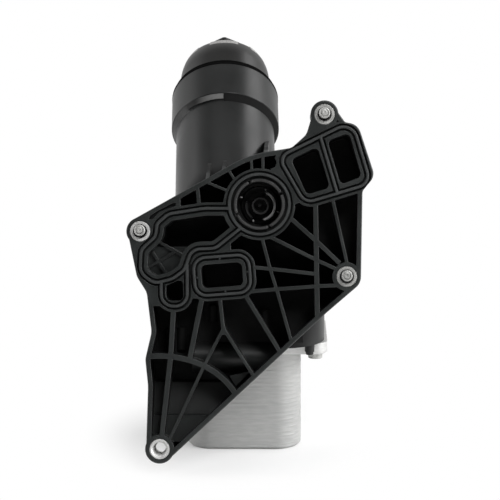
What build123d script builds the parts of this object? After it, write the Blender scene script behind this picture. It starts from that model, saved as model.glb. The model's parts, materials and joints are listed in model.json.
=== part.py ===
from build123d import *

import os
from math import cos, radians, sin

# Oil filter housing with a cartridge filter, a screw cap and a plate oil cooler.
# Millimetres. The gasket face is the plane Y = 0 and faces -Y. X runs to the right and Z up
# on that face. The origin is the centre of the bottom fixing sleeve on the gasket face.

# Fixing lugs, sleeves and captive bolts: centre (x, z) and lug radius
lugs = {
    "bottom": ((0, 0), 9.7),
    "left": ((-13.0, 145.3), 9.25),
    "top": ((109.9, 223.1), 9.3),
    "right": ((124.7, 115.1), 9.5),
}
bolted_lugs = ["top", "left", "right"]
sleeve_outer_r = 6.9
sleeve_bore_r = 4.5
sleeve_fit = 0.05
sleeve_chamfer = 0.4
bolt_shank_r = 3.3
bolt_thread_r = 3.95
bolt_thread_length = 16.0
bolt_head_flat = 10.0
bolt_head_height = 6.0
bolt_flange_r = 7.6
bolt_flange_height = 2.0
bolt_reach = 5.0
bolt_travel = 12.0
bolt_tip_chamfer = 0.8

# Flange plate: outer wall points (x, z) with a corner radius each
flange_depth = 25.0
rim_wall = 3.2
rim_round = 0.8
pocket_depth = 22.0
outline_points = [
    ((-9.0, 0), 1), ((-7.7, 42), 40), ((-9.6, 60), 12), ((-5.4, 78.0), 14), ((-8.6, 104.5), 10),
    ((-15.2, 115), 10), ((-20.6, 141), 1), ((-18.2, 152.9), 1), ((60.0, 196.5), 70),
    ((88.0, 200.8), 10), ((97.8, 209.6), 9), ((102.9, 226.5), 0), ((116.8, 227.5), 0),
    ((123.5, 217.9), 3), ((132.2, 216.2), 9), ((143.4, 182.0), 8), ((135.2, 172.0), 5),
    ((134.2, 115), 1), ((130.9, 107.9), 1), ((111.0, 90.8), 20), ((6.9, -6.2), 1),
]

# Stiffening ribs across the flange pockets: width and points (x, z)
ribs = [
    (3.2, [(103.9, 164), (105.2, 85.5)]),
    (2.1, [(115.0, 167.5), (125.5, 121)]),
    (2.9, [(84, 157), (103.5, 139.7), (120, 124)]),
    (2.4, [(72, 142.5), (104.2, 126.3), (118, 120)]),
    (2.4, [(60, 121.5), (73.5, 120.3), (102.9, 117), (105, 117)]),
    (2.1, [(68, 142), (73.5, 120.7), (78.2, 106), (88, 71.5)]),
    (2.4, [(59, 105), (78.2, 106.7), (104.9, 108.7), (120, 109.4)]),
    (2.7, [(56.5, 104), (80.5, 64.5)]),
    (2.4, [(40.2, 101), (42.6, 79)]),
    (2.0, [(42.6, 80.5), (29.9, 56), (5.5, 4)]),
    (2.1, [(42.6, 80.5), (63, 48.5)]),
    (3.2, [(28.4, 101), (20.0, 59.5)]),
    (3.2, [(9.4, 95), (7.5, 62.7), (1.2, 6)]),
    (2.0, [(12.3, 171), (11.9, 159)]),
    (2.3, [(25.0, 176), (26.5, 162)]),
    (1.7, [(31.5, 178), (46, 172)]),
    (1.7, [(45.4, 187), (50.3, 179.4)]),
    (1.7, [(61.1, 195), (61.5, 185)]),
    (1.9, [(68.9, 197), (68.9, 185)]),
]
arch_rib_width = 3.6
arch_rib_points = [(-8, 61.8), (8.2, 61.7), (30.2, 55.3), (50.0, 38.0)]
junction_web = [(42.9, 84.0), (39.4, 74.8), (46.4, 74.8)]
junction_arch_centre = (42.9, 73.6)
junction_arch_r = 2.8
round_pocket_centre = (73.9, 191)
round_pocket_r = 4.0

# Flat areas of the flange that are not pocketed: corners (x, z)
flat_areas = [
    [(-25, 95.5), (4, 95.5), (4, 118), (-4, 150), (14, 161), (14, 175), (-25, 152)],
    [(14, 100.5), (30, 100.5), (30, 129), (14, 129)],
    [(18, 126), (47.5, 126), (47.5, 139), (18, 131)],
    [(74, 187), (79, 199), (98, 166), (90.2, 163.2), (84, 165)],
    [(100.8, 209), (102.6, 218.5), (111, 216.5), (109.5, 212.5)],
]
slot_pocket_depth = 3.0
slot_pocket = [
    (-7.1, 153.4), (-6.3, 155.6), (-1.1, 158.9), (9.4, 164.4),
    (11.2, 164), (10.8, 162.4), (0.2, 158.4), (-4.6, 153.2),
]

# Gaskets and their grooves; ring_half is from the gasket's centre line to the ring's outer wall
gasket_width = 2.3
gasket_proud = 0.4
groove_width = 4.6
groove_depth = 3.0
ring_half = 3.9
land_half = 4.8
port_depth = 44.0

# Round port with the check valve
round_centre = (66.5, 163.3)
round_gasket_r = 20.0
valve_bore_r = 17.3
valve_bore_depth = 30.0
valve_fit = 0.1
inlet_r = 14.0
inlet_depth = 42.0
valve_boss_r = 20.5
valve_boss_wall = 3.0

# Kidney port: gasket centre line points (x, z) with corner radii
kidney_points = [
    ((46.9, 160.5), 0), ((30.0, 160.6), 30), ((6.0, 156.9), 9), ((-1.6, 150.3), 5), ((-2.6, 141.8), 7),
    ((-12.3, 133.0), 8), ((-12.9, 117.5), 9), ((-3.4, 110.6), 8), ((8.6, 113.6), 12), ((16.6, 119.4), 7),
    ((21.6, 133.3), 8), ((37.2, 133.9), 9), ((54.4, 147.6), 0),
]
kidney_step_z = 135.0
kidney_depth = 34.0
kidney_bulge = 13.0
kidney_shelf_depth = 7.0
kidney_rib_width = 1.9
kidney_rib_height = 2.2
kidney_ribs = [
    [(0.0, 137.9), (16.8, 128.2)],
    [(-8.0, 121.0), (9.5, 131.6)],
    [(-5.2, 131.6), (4.3, 115.8)],
]

# Small port under the kidney port
small_points = [
    ((1.2, 111.0), 0), ((1.2, 95.4), 8), ((18.6, 95.4), 8), ((18.4, 123.5), 0),
]
small_opening = [
    ((4.3, 109.0), 2.2), ((4.6, 99.0), 3.5), ((15.9, 99.0), 3.5),
    ((15.6, 112.4), 2.2), ((11.8, 112.4), 1.5),
]
small_depth = 21.0

# Rectangular port
rect_centre = (41.7, 116.0)
rect_size = (37.1, 25.3)
rect_corner = 8.0
rect_turn = 4.5
rect_opening_corner = 3.7

# Twin windows with the cross bar
twin_points = [((79.2, 194.6), 6.7), ((128.1, 218.5), 9.3), ((140.5, 177.1), 8.0), ((96.9, 164.0), 8.0)]
twin_bar = [(107.2, 208.0), (118.4, 170.6)]
twin_left = [(87.6, 193.0), (105.2, 201.6), (113.6, 174.2), (98.0, 169.6)]
twin_right = [(111.8, 205.4), (126.2, 210.8), (134.6, 181.6), (120.6, 176.2)]
twin_corner = 3.4

# Bowl: tube that leans back from the flange; s is measured along its axis from the collar's lower edge
tube_lean = 40.0
tube_side_lean = 1.6
tube_origin = (39.95, 110.0, 221.4)
tube_r = 35.6
tube_wall = 3.4
bowl_length = 90.0
bowl_floor = 4.0
collar_r = 39.2
collar_drop = 2.0
collar_height = 29.5
collar_chamfer = 5.0
collar_edge_round = 0.6

# Screw cap
face_seal_r = 38.1
face_seal_thick = 3.2
face_seal_gap = 0.1
cap_skirt_top = 27.0
cap_skirt_length = 20.0
cap_neck_r = 29.6
cap_thread_clearance = 0.3
cap_skirt_wall = 4.4
cap_wall = 3.0
cap_stub_r = 10.5
cap_stub_bore_r = 6.0
cap_spigot_r = 7.9
cap_spigot_length = 5.0
cap_dome_r = 33.2
cap_dome_centre = 18.0
cap_top = 34.5
cap_top_round = 4.0
cap_hex_flat = 25.0
cap_hex_corner = 3.5
cap_hex_top = 55.0
cap_hex_turn = 30.0
cap_hex_chamfer = 1.0
cap_stub_gap = 0.3
slide_clearance = 0.3
seal_cord_r = 1.5
seal_fit = 0.15
seal_place = 21.0

# Filter cartridge inside the bowl
media_root_r = 14.0
media_top = 12.0
cartridge_lift = 7.5
pleats = 36
pleat_wall = 0.9
core_gap = 0.4
core_wall = 1.4
core_window_rows = 5
core_windows = 6
core_window_height = 11.0
core_window_width = 8.0
core_window_reach = 6.0
end_cap_clearance = 0.3
end_cap_gap = 1.2
end_cap_wall = 1.4
end_cap_thick = 2.5
end_cap_lip = 3.0

# Standpipe and bypass valve
standpipe_gap = 0.8
standpipe_wall = 2.0
standpipe_length = 62.0
standpipe_fit = 0.05
standpipe_foot_r = 14.5
standpipe_foot = 3.0
standpipe_foot_bevel = 1.0
standpipe_slot_start = 12.0
standpipe_slot_width = 6.0
standpipe_slot_length = 16.0
bypass_seat_r = 6.0
bypass_seat_thick = 2.0
bypass_poppet_r = 7.6
bypass_poppet_thick = 2.0
bypass_stem_r = 1.6
bypass_stem_out = 1.4
bypass_spring_r = 4.2
bypass_wire_r = 0.5
bypass_spring_length = 9.0
bypass_spring_turns = 4
retainer_thick = 2.0
retainer_holes = 4
retainer_hole_r = 2.0
retainer_hole_place = 5.6

# Check valve in the round port
cage_ring_inner_r = 14.9
cage_floor_y = 25.0
cage_floor_thick = 2.0
cage_end_gap = 0.5
cage_hub_outer_r = 5.9
cage_hub_inner_r = 3.7
cage_gap_width = 2.5
cage_gap_depth = 8.0
cage_gap_angles = [24, 115, 204, 293.5]
cage_spoke_width = 1.8
cage_spokes = 4
cage_spoke_start = -19.0
cage_window_r = 13.2
cage_hub_height = 4.0
cage_spoke_overlap = 0.6
cage_arc_height = 5.0
cage_arc_r = 9.7
cage_arc_width = 1.6
cage_arc_from = -80
cage_arc_turn = 140
poppet_r = 12.8
poppet_thick = 1.8
poppet_stem_r = 1.3
check_spring_r = 5.0
check_wire_r = 0.5
check_spring_turns = 4
spring_gap = 0.3
poppet_gap = 0.3
poppet_edge_round = 0.5

# Oil cooler: frame with its origin at the bottom centre of the stack, w along the stack
cooler_lean = 12.0
cooler_origin = (54.75, 92.2, 1.6)
core_size = (80.5, 70.0)
core_corner = 18.0
core_height = 67.6
core_plates = 24
core_groove = 0.9
core_groove_share = 0.42
end_plate_thick = 1.6
end_plate_inset = 2.0
plate_thick = 8.0
plate_size = (116.6, 70.2)
plate_corner = 8.6
screw_place = (50.0, 27.0)
screw_r = 2.9
screw_head_r = 5.0
screw_head_height = 4.0
screw_depth = 14.0
screw_clearance = 0.35
screw_fit = 0.05
screw_socket_r = 2.8
screw_end_gap = 1.0
core_port_depth = 8.0
plate_chamfer = 0.6
cooler_port_r = 6.5
cooler_ports = [(-22, -17), (22, -17), (-22, 17), (22, 17)]
cooler_port_depth = 32.0
seal_ring_r = 9.0
seal_ring_cord_r = 1.5
seal_groove_depth = 3.2
seal_ring_fit = 0.1

# Housing foot that sits on the cooler plate, and the body between it and the bowl
foot_points = [((-56.4, -48), 28), ((56.4, -48), 28), ((56.4, 37), 9), ((-56.4, 37), 9)]
foot_height = 30.0
peg_r = 3.3
peg_length = 4.6
peg_tip_r = 2.7
peg_tip_length = 2.3
peg_tip_round = 0.8
peg_place = (45.8, -38.6)
body_profile = [(20, 168), (20, 70), (50, 74), (96, 94), (96, 128), (76, 150), (52, 160)]
body_x = (14.0, 96.0)
duct_points = [
    ((82, 92), 6), ((107, 92), 10), ((133.0, 172), 8), ((136.0, 181), 8), ((126, 211), 8), ((82, 194), 8),
]
duct_depth = 27.0

# Fins between the flange's top edge and the tube: x, width, height at the flange, tip (y, z)
fins = [
    (31.8, 2.4, 180.2, (37.0, 192.5)),
    (42.4, 2.2, 186.0, (38.0, 194.5)),
    (70.8, 3.0, 198.2, (77.0, 210.5)),
]
fin_front = 3.0
fin_bottom = 168.0

# Webs on the back of the flange: x, width and profile (y, z)
back_webs = [
    (8.0, 3.0, [(20, 70), (20, 150), (34, 150), (60, 84)]),
    (100.0, 3.0, [(20, 96), (20, 160), (48, 160), (60, 104)]),
    (30.0, 3.0, [(20, 24), (20, 74), (40, 74)]),
    (58.0, 3.0, [(20, 50), (20, 74), (38, 74)]),
]

# Relief on the pocket floors: a round bar across, a stepped floor (y, z), upright posts
# (x, bottom, top, radius) and a corner block
bar_centre = (25.0, 60.0)
bar_r = 10.5
bar_x = (21.0, 80.0)
step_profile = [(23, 44.5), (18.5, 43.5), (15.0, 22.5), (11.5, 21.5), (8.0, 4.0), (23, 4.0)]
step_x = (-8.0, 62.0)
floor_posts = [
    (4.6, 66.0, 79.0, 2.2), (13.6, 65.0, 80.0, 3.0), (34.8, 84.0, 95.0, 3.0), (70.0, 78.0, 92.0, 3.0),
]
corner_block = [(46.3, 48.4), (61.0, 51.6), (50.6, 41.2)]
corner_block_depth = 9.0
relief_inset = 1.5

cooler_plane = Plane(
    origin=cooler_origin,
    x_dir=(1, 0, 0),
    z_dir=(0, -sin(radians(cooler_lean)), cos(radians(cooler_lean))),
)
tube_plane = Plane(
    origin=tube_origin,
    x_dir=(
        cos(radians(tube_side_lean)),
        sin(radians(tube_side_lean)) * sin(radians(tube_lean)),
        sin(radians(tube_side_lean)) * cos(radians(tube_lean)),
    ),
    z_dir=(
        -sin(radians(tube_side_lean)),
        cos(radians(tube_side_lean)) * sin(radians(tube_lean)),
        cos(radians(tube_side_lean)) * cos(radians(tube_lean)),
    ),
)
bowl_axis = Axis(tube_origin, tube_plane.z_dir)

# Profiles of the turned pieces in the bowl are drawn as (radius, height along the bowl's axis)
profile_plane = Plane(origin=tube_origin, x_dir=tube_plane.x_dir, z_dir=-tube_plane.y_dir)
chamfer_plane = Plane(origin=tube_origin, x_dir=tube_plane.y_dir, z_dir=tube_plane.x_dir)

screw_places = [(side * screw_place[0], end * screw_place[1]) for side in (-1, 1) for end in (-1, 1)]

# Sizes that follow from the ones above
bore_r = tube_r - tube_wall
bowl_bottom = -bowl_length + bowl_floor
foot_bottom = core_height + plate_thick
cap_skirt_r = bore_r - cap_thread_clearance
skirt_inner_r = cap_skirt_r - cap_skirt_wall
end_cap_r = skirt_inner_r - end_cap_gap
media_outer_r = end_cap_r - end_cap_wall - end_cap_clearance
media_bottom = bowl_bottom + cartridge_lift + end_cap_thick
media_length = media_top - media_bottom
core_outer_r = media_root_r - core_gap
core_inner_r = core_outer_r - core_wall
standpipe_r = core_inner_r - standpipe_gap
pipe_top = bowl_bottom + standpipe_length
cage_outer_r = valve_bore_r - valve_fit
cage_length = valve_bore_depth - cage_end_gap


# The flange's profiles are drawn flat, x to the right and y up, and placed by depth behind the face
def at_depth(depth):
    return Plane.XZ.offset(-depth)


def rounded_face(points):
    with BuildSketch() as shape:
        with BuildLine():
            FilletPolyline(*[place for place, r in points], radius=[r for place, r in points], close=True)
        make_face()
    return shape.sketch


def straight_face(points):
    with BuildSketch() as shape:
        with BuildLine():
            Polyline(*points, close=True)
        make_face()
    return shape.sketch


def open_route(points):
    with BuildLine() as route:
        FilletPolyline(*[place for place, r in points], radius=[r for place, r in points[1:-1]])
    return route.line


def closed_route(points):
    with BuildLine() as route:
        FilletPolyline(*[place for place, r in points], radius=[r for place, r in points], close=True)
    return route.line


def band(routes, width):
    with BuildSketch() as shape:
        for route in routes:
            trace(route, line_width=width)
    return shape.sketch


def turned_rectangle(centre, size, angle):
    half_x = size[0] / 2
    half_y = size[1] / 2
    turn_cos = cos(radians(angle))
    turn_sin = sin(radians(angle))
    corners = [(-half_x, -half_y), (half_x, -half_y), (half_x, half_y), (-half_x, half_y)]
    return [
        (centre[0] + x * turn_cos - y * turn_sin, centre[1] + x * turn_sin + y * turn_cos)
        for x, y in corners
    ]


# Gasket routes
kidney_route = open_route(kidney_points)
small_route = open_route(small_points)
with BuildLine() as round_line:
    CenterArc(round_centre, round_gasket_r, 0, 360)
round_route = round_line.line
twin_route = closed_route(twin_points)
with BuildLine() as twin_bar_line:
    Line(*twin_bar)
twin_bar_route = twin_bar_line.line
rect_points = [(corner, rect_corner) for corner in turned_rectangle(rect_centre, rect_size, rect_turn)]
rect_route = closed_route(rect_points)

ports_routes = [kidney_route, small_route, round_route]
twin_routes = [twin_route, twin_bar_route]
all_routes = [kidney_route, small_route, round_route, twin_route, twin_bar_route, rect_route]

# Flange outline with its lugs
with BuildSketch() as outline:
    add(rounded_face(outline_points))
    for centre, radius in lugs.values():
        with Locations(centre):
            Circle(radius)

# Web with an arched edge where two ribs part
with BuildSketch() as junction:
    add(straight_face(junction_web))
    with Locations(junction_arch_centre):
        Circle(junction_arch_r, mode=Mode.SUBTRACT)

# Everything inside the rim that stays solid up to the gasket face
with BuildSketch() as solid_areas:
    for width, points in ribs:
        with BuildLine():
            Polyline(*points)
        trace(line_width=width)
    with BuildLine():
        Spline(*arch_rib_points)
    trace(line_width=arch_rib_width)
    for corners in flat_areas:
        add(straight_face(corners))
    add(junction.sketch)
    for centre, radius in lugs.values():
        with Locations(centre):
            Circle(radius)
    with Locations(round_centre):
        Circle(round_gasket_r + ring_half)
    add(band(all_routes, 2 * ring_half))
    add(rounded_face(kidney_points))
    add(rounded_face([(place, 0) for place, r in small_points]))
    add(rounded_face(twin_points))
    add(rounded_face(rect_points))

with BuildSketch() as pockets:
    add(outline.sketch)
    offset(amount=-rim_wall, mode=Mode.REPLACE)
    add(solid_areas.sketch, mode=Mode.SUBTRACT)
    with Locations(round_pocket_centre):
        Circle(round_pocket_r)

# Openings of the ports, inside their gaskets
with BuildSketch() as kidney_opening:
    add(rounded_face(kidney_points))
    offset(amount=-land_half, mode=Mode.REPLACE)
    with Locations(round_centre):
        Circle(round_gasket_r + land_half, mode=Mode.SUBTRACT)
with BuildSketch() as kidney_deep:
    add(kidney_opening.sketch)
    with Locations((0, kidney_step_z - 100)):
        Rectangle(400, 200, mode=Mode.SUBTRACT)
with BuildSketch() as kidney_shelf_ribs:
    for line in kidney_ribs:
        with BuildLine():
            Line(*line)
        trace(line_width=kidney_rib_width)
    add(kidney_opening.sketch, mode=Mode.INTERSECT)
rect_opening_size = (rect_size[0] - 2 * land_half, rect_size[1] - 2 * land_half)
rect_opening = turned_rectangle(rect_centre, rect_opening_size, rect_turn)
with BuildSketch() as small_opening_sketch:
    add(rounded_face(small_opening))
with BuildSketch() as deep_openings:
    add(rounded_face([(corner, rect_opening_corner) for corner in rect_opening]))
    add(rounded_face([(corner, twin_corner) for corner in twin_left]))
    add(rounded_face([(corner, twin_corner) for corner in twin_right]))

foot_plane = cooler_plane.offset(foot_bottom)

# Relief on the pocket floors, kept inside the rim
with BuildPart() as relief:
    with BuildSketch(Plane.YZ.offset(bar_x[0])):
        with Locations(bar_centre):
            Circle(bar_r)
    extrude(amount=bar_x[1] - bar_x[0])
    with BuildSketch(Plane.YZ.offset(step_x[0])):
        add(straight_face(step_profile))
    extrude(amount=step_x[1] - step_x[0])
    for x, bottom, top, radius in floor_posts:
        with BuildSketch(Plane.XY.offset(bottom)):
            with Locations((x, pocket_depth)):
                Circle(radius)
        extrude(amount=top - bottom)
    with BuildSketch(at_depth(corner_block_depth)):
        add(straight_face(corner_block))
    extrude(amount=corner_block_depth - pocket_depth - 1)
    with BuildSketch(at_depth(0)):
        add(outline.sketch)
        offset(amount=-relief_inset, mode=Mode.REPLACE)
    extrude(amount=-(pocket_depth + 1), mode=Mode.INTERSECT)

with BuildPart() as housing:
    with BuildSketch(at_depth(0)):
        add(outline.sketch)
    extrude(amount=-flange_depth)
    front_edges = housing.faces().sort_by(Axis.Y)[0].edges()
    fillet(front_edges, rim_round)

    # Body behind the flange, the ducts and the foot on the cooler
    with BuildSketch(Plane.YZ.offset(body_x[0])):
        add(straight_face(body_profile))
    extrude(amount=body_x[1] - body_x[0])
    with BuildSketch(at_depth(pocket_depth)):
        add(rounded_face(duct_points))
        add(rounded_face(twin_points))
    extrude(amount=-(flange_depth - pocket_depth + duct_depth))
    with BuildSketch(at_depth(pocket_depth)):
        add(rounded_face(kidney_points))
    extrude(amount=-(flange_depth - pocket_depth + kidney_bulge))
    with BuildSketch(at_depth(pocket_depth)):
        with Locations(round_centre):
            Circle(valve_boss_r)
    extrude(amount=-(inlet_depth + valve_boss_wall - pocket_depth))
    with BuildSketch(foot_plane):
        add(rounded_face(foot_points))
    extrude(amount=foot_height)
    for radius, length in ((peg_r, peg_length), (peg_tip_r, peg_length + peg_tip_length)):
        with BuildSketch(foot_plane):
            with Locations(peg_place):
                Circle(radius)
        extrude(amount=-length)
    peg_end = housing.edges().filter_by(GeomType.CIRCLE)
    peg_end = peg_end.filter_by(lambda edge: abs(edge.radius - peg_tip_r) < 0.01)
    fillet(peg_end.sort_by(Axis((0, 0, 0), cooler_plane.z_dir))[0], peg_tip_round)
    for x, width, profile in back_webs:
        with BuildSketch(Plane.YZ.offset(x - width / 2)):
            add(straight_face(profile))
        extrude(amount=width)
    for x, width, base, tip in fins:
        with BuildSketch(Plane.YZ.offset(x - width / 2)):
            add(straight_face([(fin_front, fin_bottom), (fin_front, base), tip, (tip[0], fin_bottom)]))
        extrude(amount=width)

    # Bowl tube and collar
    with BuildSketch(tube_plane):
        Circle(tube_r)
    extrude(amount=-bowl_length)
    with BuildSketch(tube_plane.offset(-collar_drop)):
        Circle(collar_r)
    extrude(amount=collar_height + collar_drop)
    circles = housing.edges().filter_by(GeomType.CIRCLE)
    fillet(circles.filter_by(lambda edge: abs(edge.radius - collar_r) < 0.01), collar_edge_round)
    with BuildSketch(chamfer_plane):
        with BuildLine():
            Polyline(
                (tube_r - 1, 1 - collar_drop),
                (collar_r - collar_edge_round, -collar_drop),
                (tube_r - 1, -collar_chamfer - collar_drop),
                close=True,
            )
        make_face()
    revolve(axis=bowl_axis, revolution_arc=180)

    # Pockets, port openings and gasket grooves
    with BuildSketch(at_depth(0)):
        add(pockets.sketch)
    extrude(amount=-pocket_depth, mode=Mode.SUBTRACT)
    add(relief.part)

    for sketch, depth in [
        (kidney_deep, kidney_depth),
        (kidney_opening, kidney_shelf_depth),
        (small_opening_sketch, small_depth),
        (deep_openings, port_depth),
    ]:
        with BuildSketch(at_depth(0)):
            add(sketch.sketch)
        extrude(amount=-depth, mode=Mode.SUBTRACT)
    with BuildSketch(at_depth(kidney_shelf_depth)):
        add(kidney_shelf_ribs.sketch)
    extrude(amount=kidney_rib_height)
    with BuildSketch(at_depth(0)):
        add(band(all_routes, groove_width))
        with Locations(round_centre):
            Circle(round_gasket_r + groove_width / 2)
    extrude(amount=-groove_depth, mode=Mode.SUBTRACT)
    with BuildSketch(at_depth(0)):
        add(straight_face(slot_pocket))
    extrude(amount=-slot_pocket_depth, mode=Mode.SUBTRACT)

    # Valve bore and inlet of the round port
    with BuildSketch(at_depth(0)):
        with Locations(round_centre):
            Circle(valve_bore_r)
    extrude(amount=-valve_bore_depth, mode=Mode.SUBTRACT)
    with BuildSketch(at_depth(0)):
        with Locations(round_centre):
            Circle(inlet_r)
    extrude(amount=-inlet_depth, mode=Mode.SUBTRACT)

    # Bowl bore, lug bores, cooler ports and screw holes
    with BuildSketch(tube_plane.offset(bowl_bottom)):
        Circle(bore_r)
    extrude(amount=collar_height - bowl_bottom, mode=Mode.SUBTRACT)
    with BuildSketch(at_depth(0)):
        with Locations([centre for centre, radius in lugs.values()]):
            Circle(sleeve_outer_r + sleeve_fit)
    extrude(amount=-flange_depth, mode=Mode.SUBTRACT)
    with BuildSketch(foot_plane):
        with Locations(cooler_ports):
            Circle(cooler_port_r)
    extrude(amount=cooler_port_depth, mode=Mode.SUBTRACT)
    with BuildSketch(foot_plane):
        with Locations(cooler_ports):
            Circle(seal_ring_r + seal_ring_cord_r + seal_ring_fit)
    extrude(amount=seal_groove_depth, mode=Mode.SUBTRACT)
    with BuildSketch(foot_plane):
        with Locations(screw_places):
            Circle(screw_r + screw_fit)
    extrude(amount=screw_depth, mode=Mode.SUBTRACT)

housing.part.label = "housing"
export_step(housing.part, "parts/housing.step")

# Compression sleeves and captive bolts in the lugs
for name, (centre, radius) in lugs.items():
    with BuildPart() as sleeve:
        with BuildSketch(at_depth(0)):
            with Locations(centre):
                Circle(sleeve_outer_r)
                Circle(sleeve_bore_r, mode=Mode.SUBTRACT)
        extrude(amount=-flange_depth)
        chamfer(sleeve.edges().filter_by(GeomType.CIRCLE), sleeve_chamfer)
    sleeve.part.label = f"sleeve_{name}"
    export_step(sleeve.part, f"parts/sleeve_{name}.step")

bolt_seat = flange_depth + bolt_travel
for name in bolted_lugs:
    centre = lugs[name][0]
    with BuildPart() as bolt:
        with BuildSketch(at_depth(-bolt_reach)):
            with Locations(centre):
                Circle(bolt_thread_r)
        extrude(amount=-bolt_thread_length)
        chamfer(bolt.edges().group_by(Axis.Y)[0], bolt_tip_chamfer)
        with BuildSketch(at_depth(bolt_thread_length - bolt_reach)):
            with Locations(centre):
                Circle(bolt_shank_r)
        extrude(amount=-(bolt_seat + bolt_reach - bolt_thread_length))
        with BuildSketch(at_depth(bolt_seat)):
            with Locations(centre):
                Circle(bolt_flange_r)
        extrude(amount=-bolt_flange_height)
        with BuildSketch(at_depth(bolt_seat + bolt_flange_height)):
            with Locations(centre):
                RegularPolygon(bolt_head_flat / 2, 6, major_radius=False)
        extrude(amount=-bolt_head_height)
    bolt.part.label = f"bolt_{name}"
    export_step(bolt.part, f"parts/bolt_{name}.step")

# Gaskets in their grooves
gaskets = {"gasket_ports": ports_routes, "gasket_rect": [rect_route], "gasket_twin": twin_routes}
for name, routes in gaskets.items():
    with BuildPart() as gasket:
        with BuildSketch(at_depth(-gasket_proud)):
            add(band(routes, gasket_width))
        extrude(amount=-(gasket_proud + groove_depth))
    gasket.part.label = name
    export_step(gasket.part, f"parts/{name}.step")

# Check valve: cage with a slotted rim, hub, spokes and curved rib
spoke_inner_r = cage_hub_outer_r - cage_spoke_overlap
with BuildPart() as cage:
    with BuildSketch(at_depth(0)):
        with Locations(round_centre):
            Circle(cage_outer_r)
            Circle(cage_ring_inner_r, mode=Mode.SUBTRACT)
    extrude(amount=-cage_length)
    with BuildSketch(at_depth(cage_floor_y)):
        with Locations(round_centre):
            Circle(cage_ring_inner_r)
            Circle(cage_window_r, mode=Mode.SUBTRACT)
            Circle(cage_arc_r + cage_arc_width / 2)
            Circle(cage_arc_r - cage_arc_width / 2, mode=Mode.SUBTRACT)
            Circle(cage_hub_outer_r)
        for step in range(cage_spokes):
            angle = radians(cage_spoke_start + step * 360 / cage_spokes)
            with BuildLine():
                Line(*[
                    (round_centre[0] + r * cos(angle), round_centre[1] + r * sin(angle))
                    for r in (spoke_inner_r, cage_ring_inner_r)
                ])
            trace(line_width=cage_spoke_width)
        with Locations(round_centre):
            Circle(cage_hub_inner_r, mode=Mode.SUBTRACT)
    extrude(amount=-cage_floor_thick)
    with BuildSketch(at_depth(cage_floor_y - cage_hub_height)):
        with Locations(round_centre):
            Circle(cage_hub_outer_r)
            Circle(cage_hub_inner_r, mode=Mode.SUBTRACT)
    extrude(amount=-cage_hub_height)
    with BuildSketch(at_depth(cage_floor_y - cage_arc_height)):
        with BuildLine():
            CenterArc(round_centre, cage_arc_r, cage_arc_from, cage_arc_turn)
        trace(line_width=cage_arc_width)
    extrude(amount=-(cage_arc_height + cage_floor_thick))
    with BuildSketch(at_depth(0)):
        for angle in cage_gap_angles:
            with Locations(round_centre):
                with Locations(Rotation(0, 0, angle) * Pos(cage_ring_inner_r, 0, 0)):
                    Rectangle(2 * (cage_outer_r - cage_ring_inner_r) + 2, cage_gap_width)
    extrude(amount=-cage_gap_depth, mode=Mode.SUBTRACT)
cage.part.label = "check_valve_cage"
export_step(cage.part, "parts/check_valve_cage.step")

# Check valve poppet with its stem in the hub, and the spring behind it
poppet_y = cage_floor_y + cage_floor_thick + poppet_gap
with BuildPart() as check_poppet:
    with BuildSketch(at_depth(poppet_y)):
        with Locations(round_centre):
            Circle(poppet_r)
    extrude(amount=-poppet_thick)
    fillet(check_poppet.edges(), poppet_edge_round)
    with BuildSketch(at_depth(cage_floor_y - cage_hub_height)):
        with Locations(round_centre):
            Circle(poppet_stem_r)
    extrude(amount=-(poppet_y - cage_floor_y + cage_hub_height + poppet_thick / 2))
check_poppet.part.label = "check_valve_poppet"
export_step(check_poppet.part, "parts/check_valve_poppet.step")


def coil_spring(plane, radius, wire_r, length, turns):
    with BuildPart() as coil:
        rise = length - 2 * wire_r
        with BuildLine() as path:
            Helix(rise / turns, rise, radius, center=plane.offset(wire_r).origin, direction=plane.z_dir)
        with BuildSketch(Plane(origin=path.line @ 0, z_dir=path.line % 0)):
            RegularPolygon(wire_r, 6)
        sweep(path=path.line, is_frenet=True)
    return coil


check_spring_y = poppet_y + poppet_thick + spring_gap
check_spring_plane = Plane(
    origin=(round_centre[0], check_spring_y, round_centre[1]), x_dir=(1, 0, 0), z_dir=(0, 1, 0)
)
check_spring_length = inlet_depth - spring_gap - check_spring_y
check_spring = coil_spring(
    check_spring_plane, check_spring_r, check_wire_r, check_spring_length, check_spring_turns
)
check_spring.part.label = "check_valve_spring"
export_step(check_spring.part, "parts/check_valve_spring.step")

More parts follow.
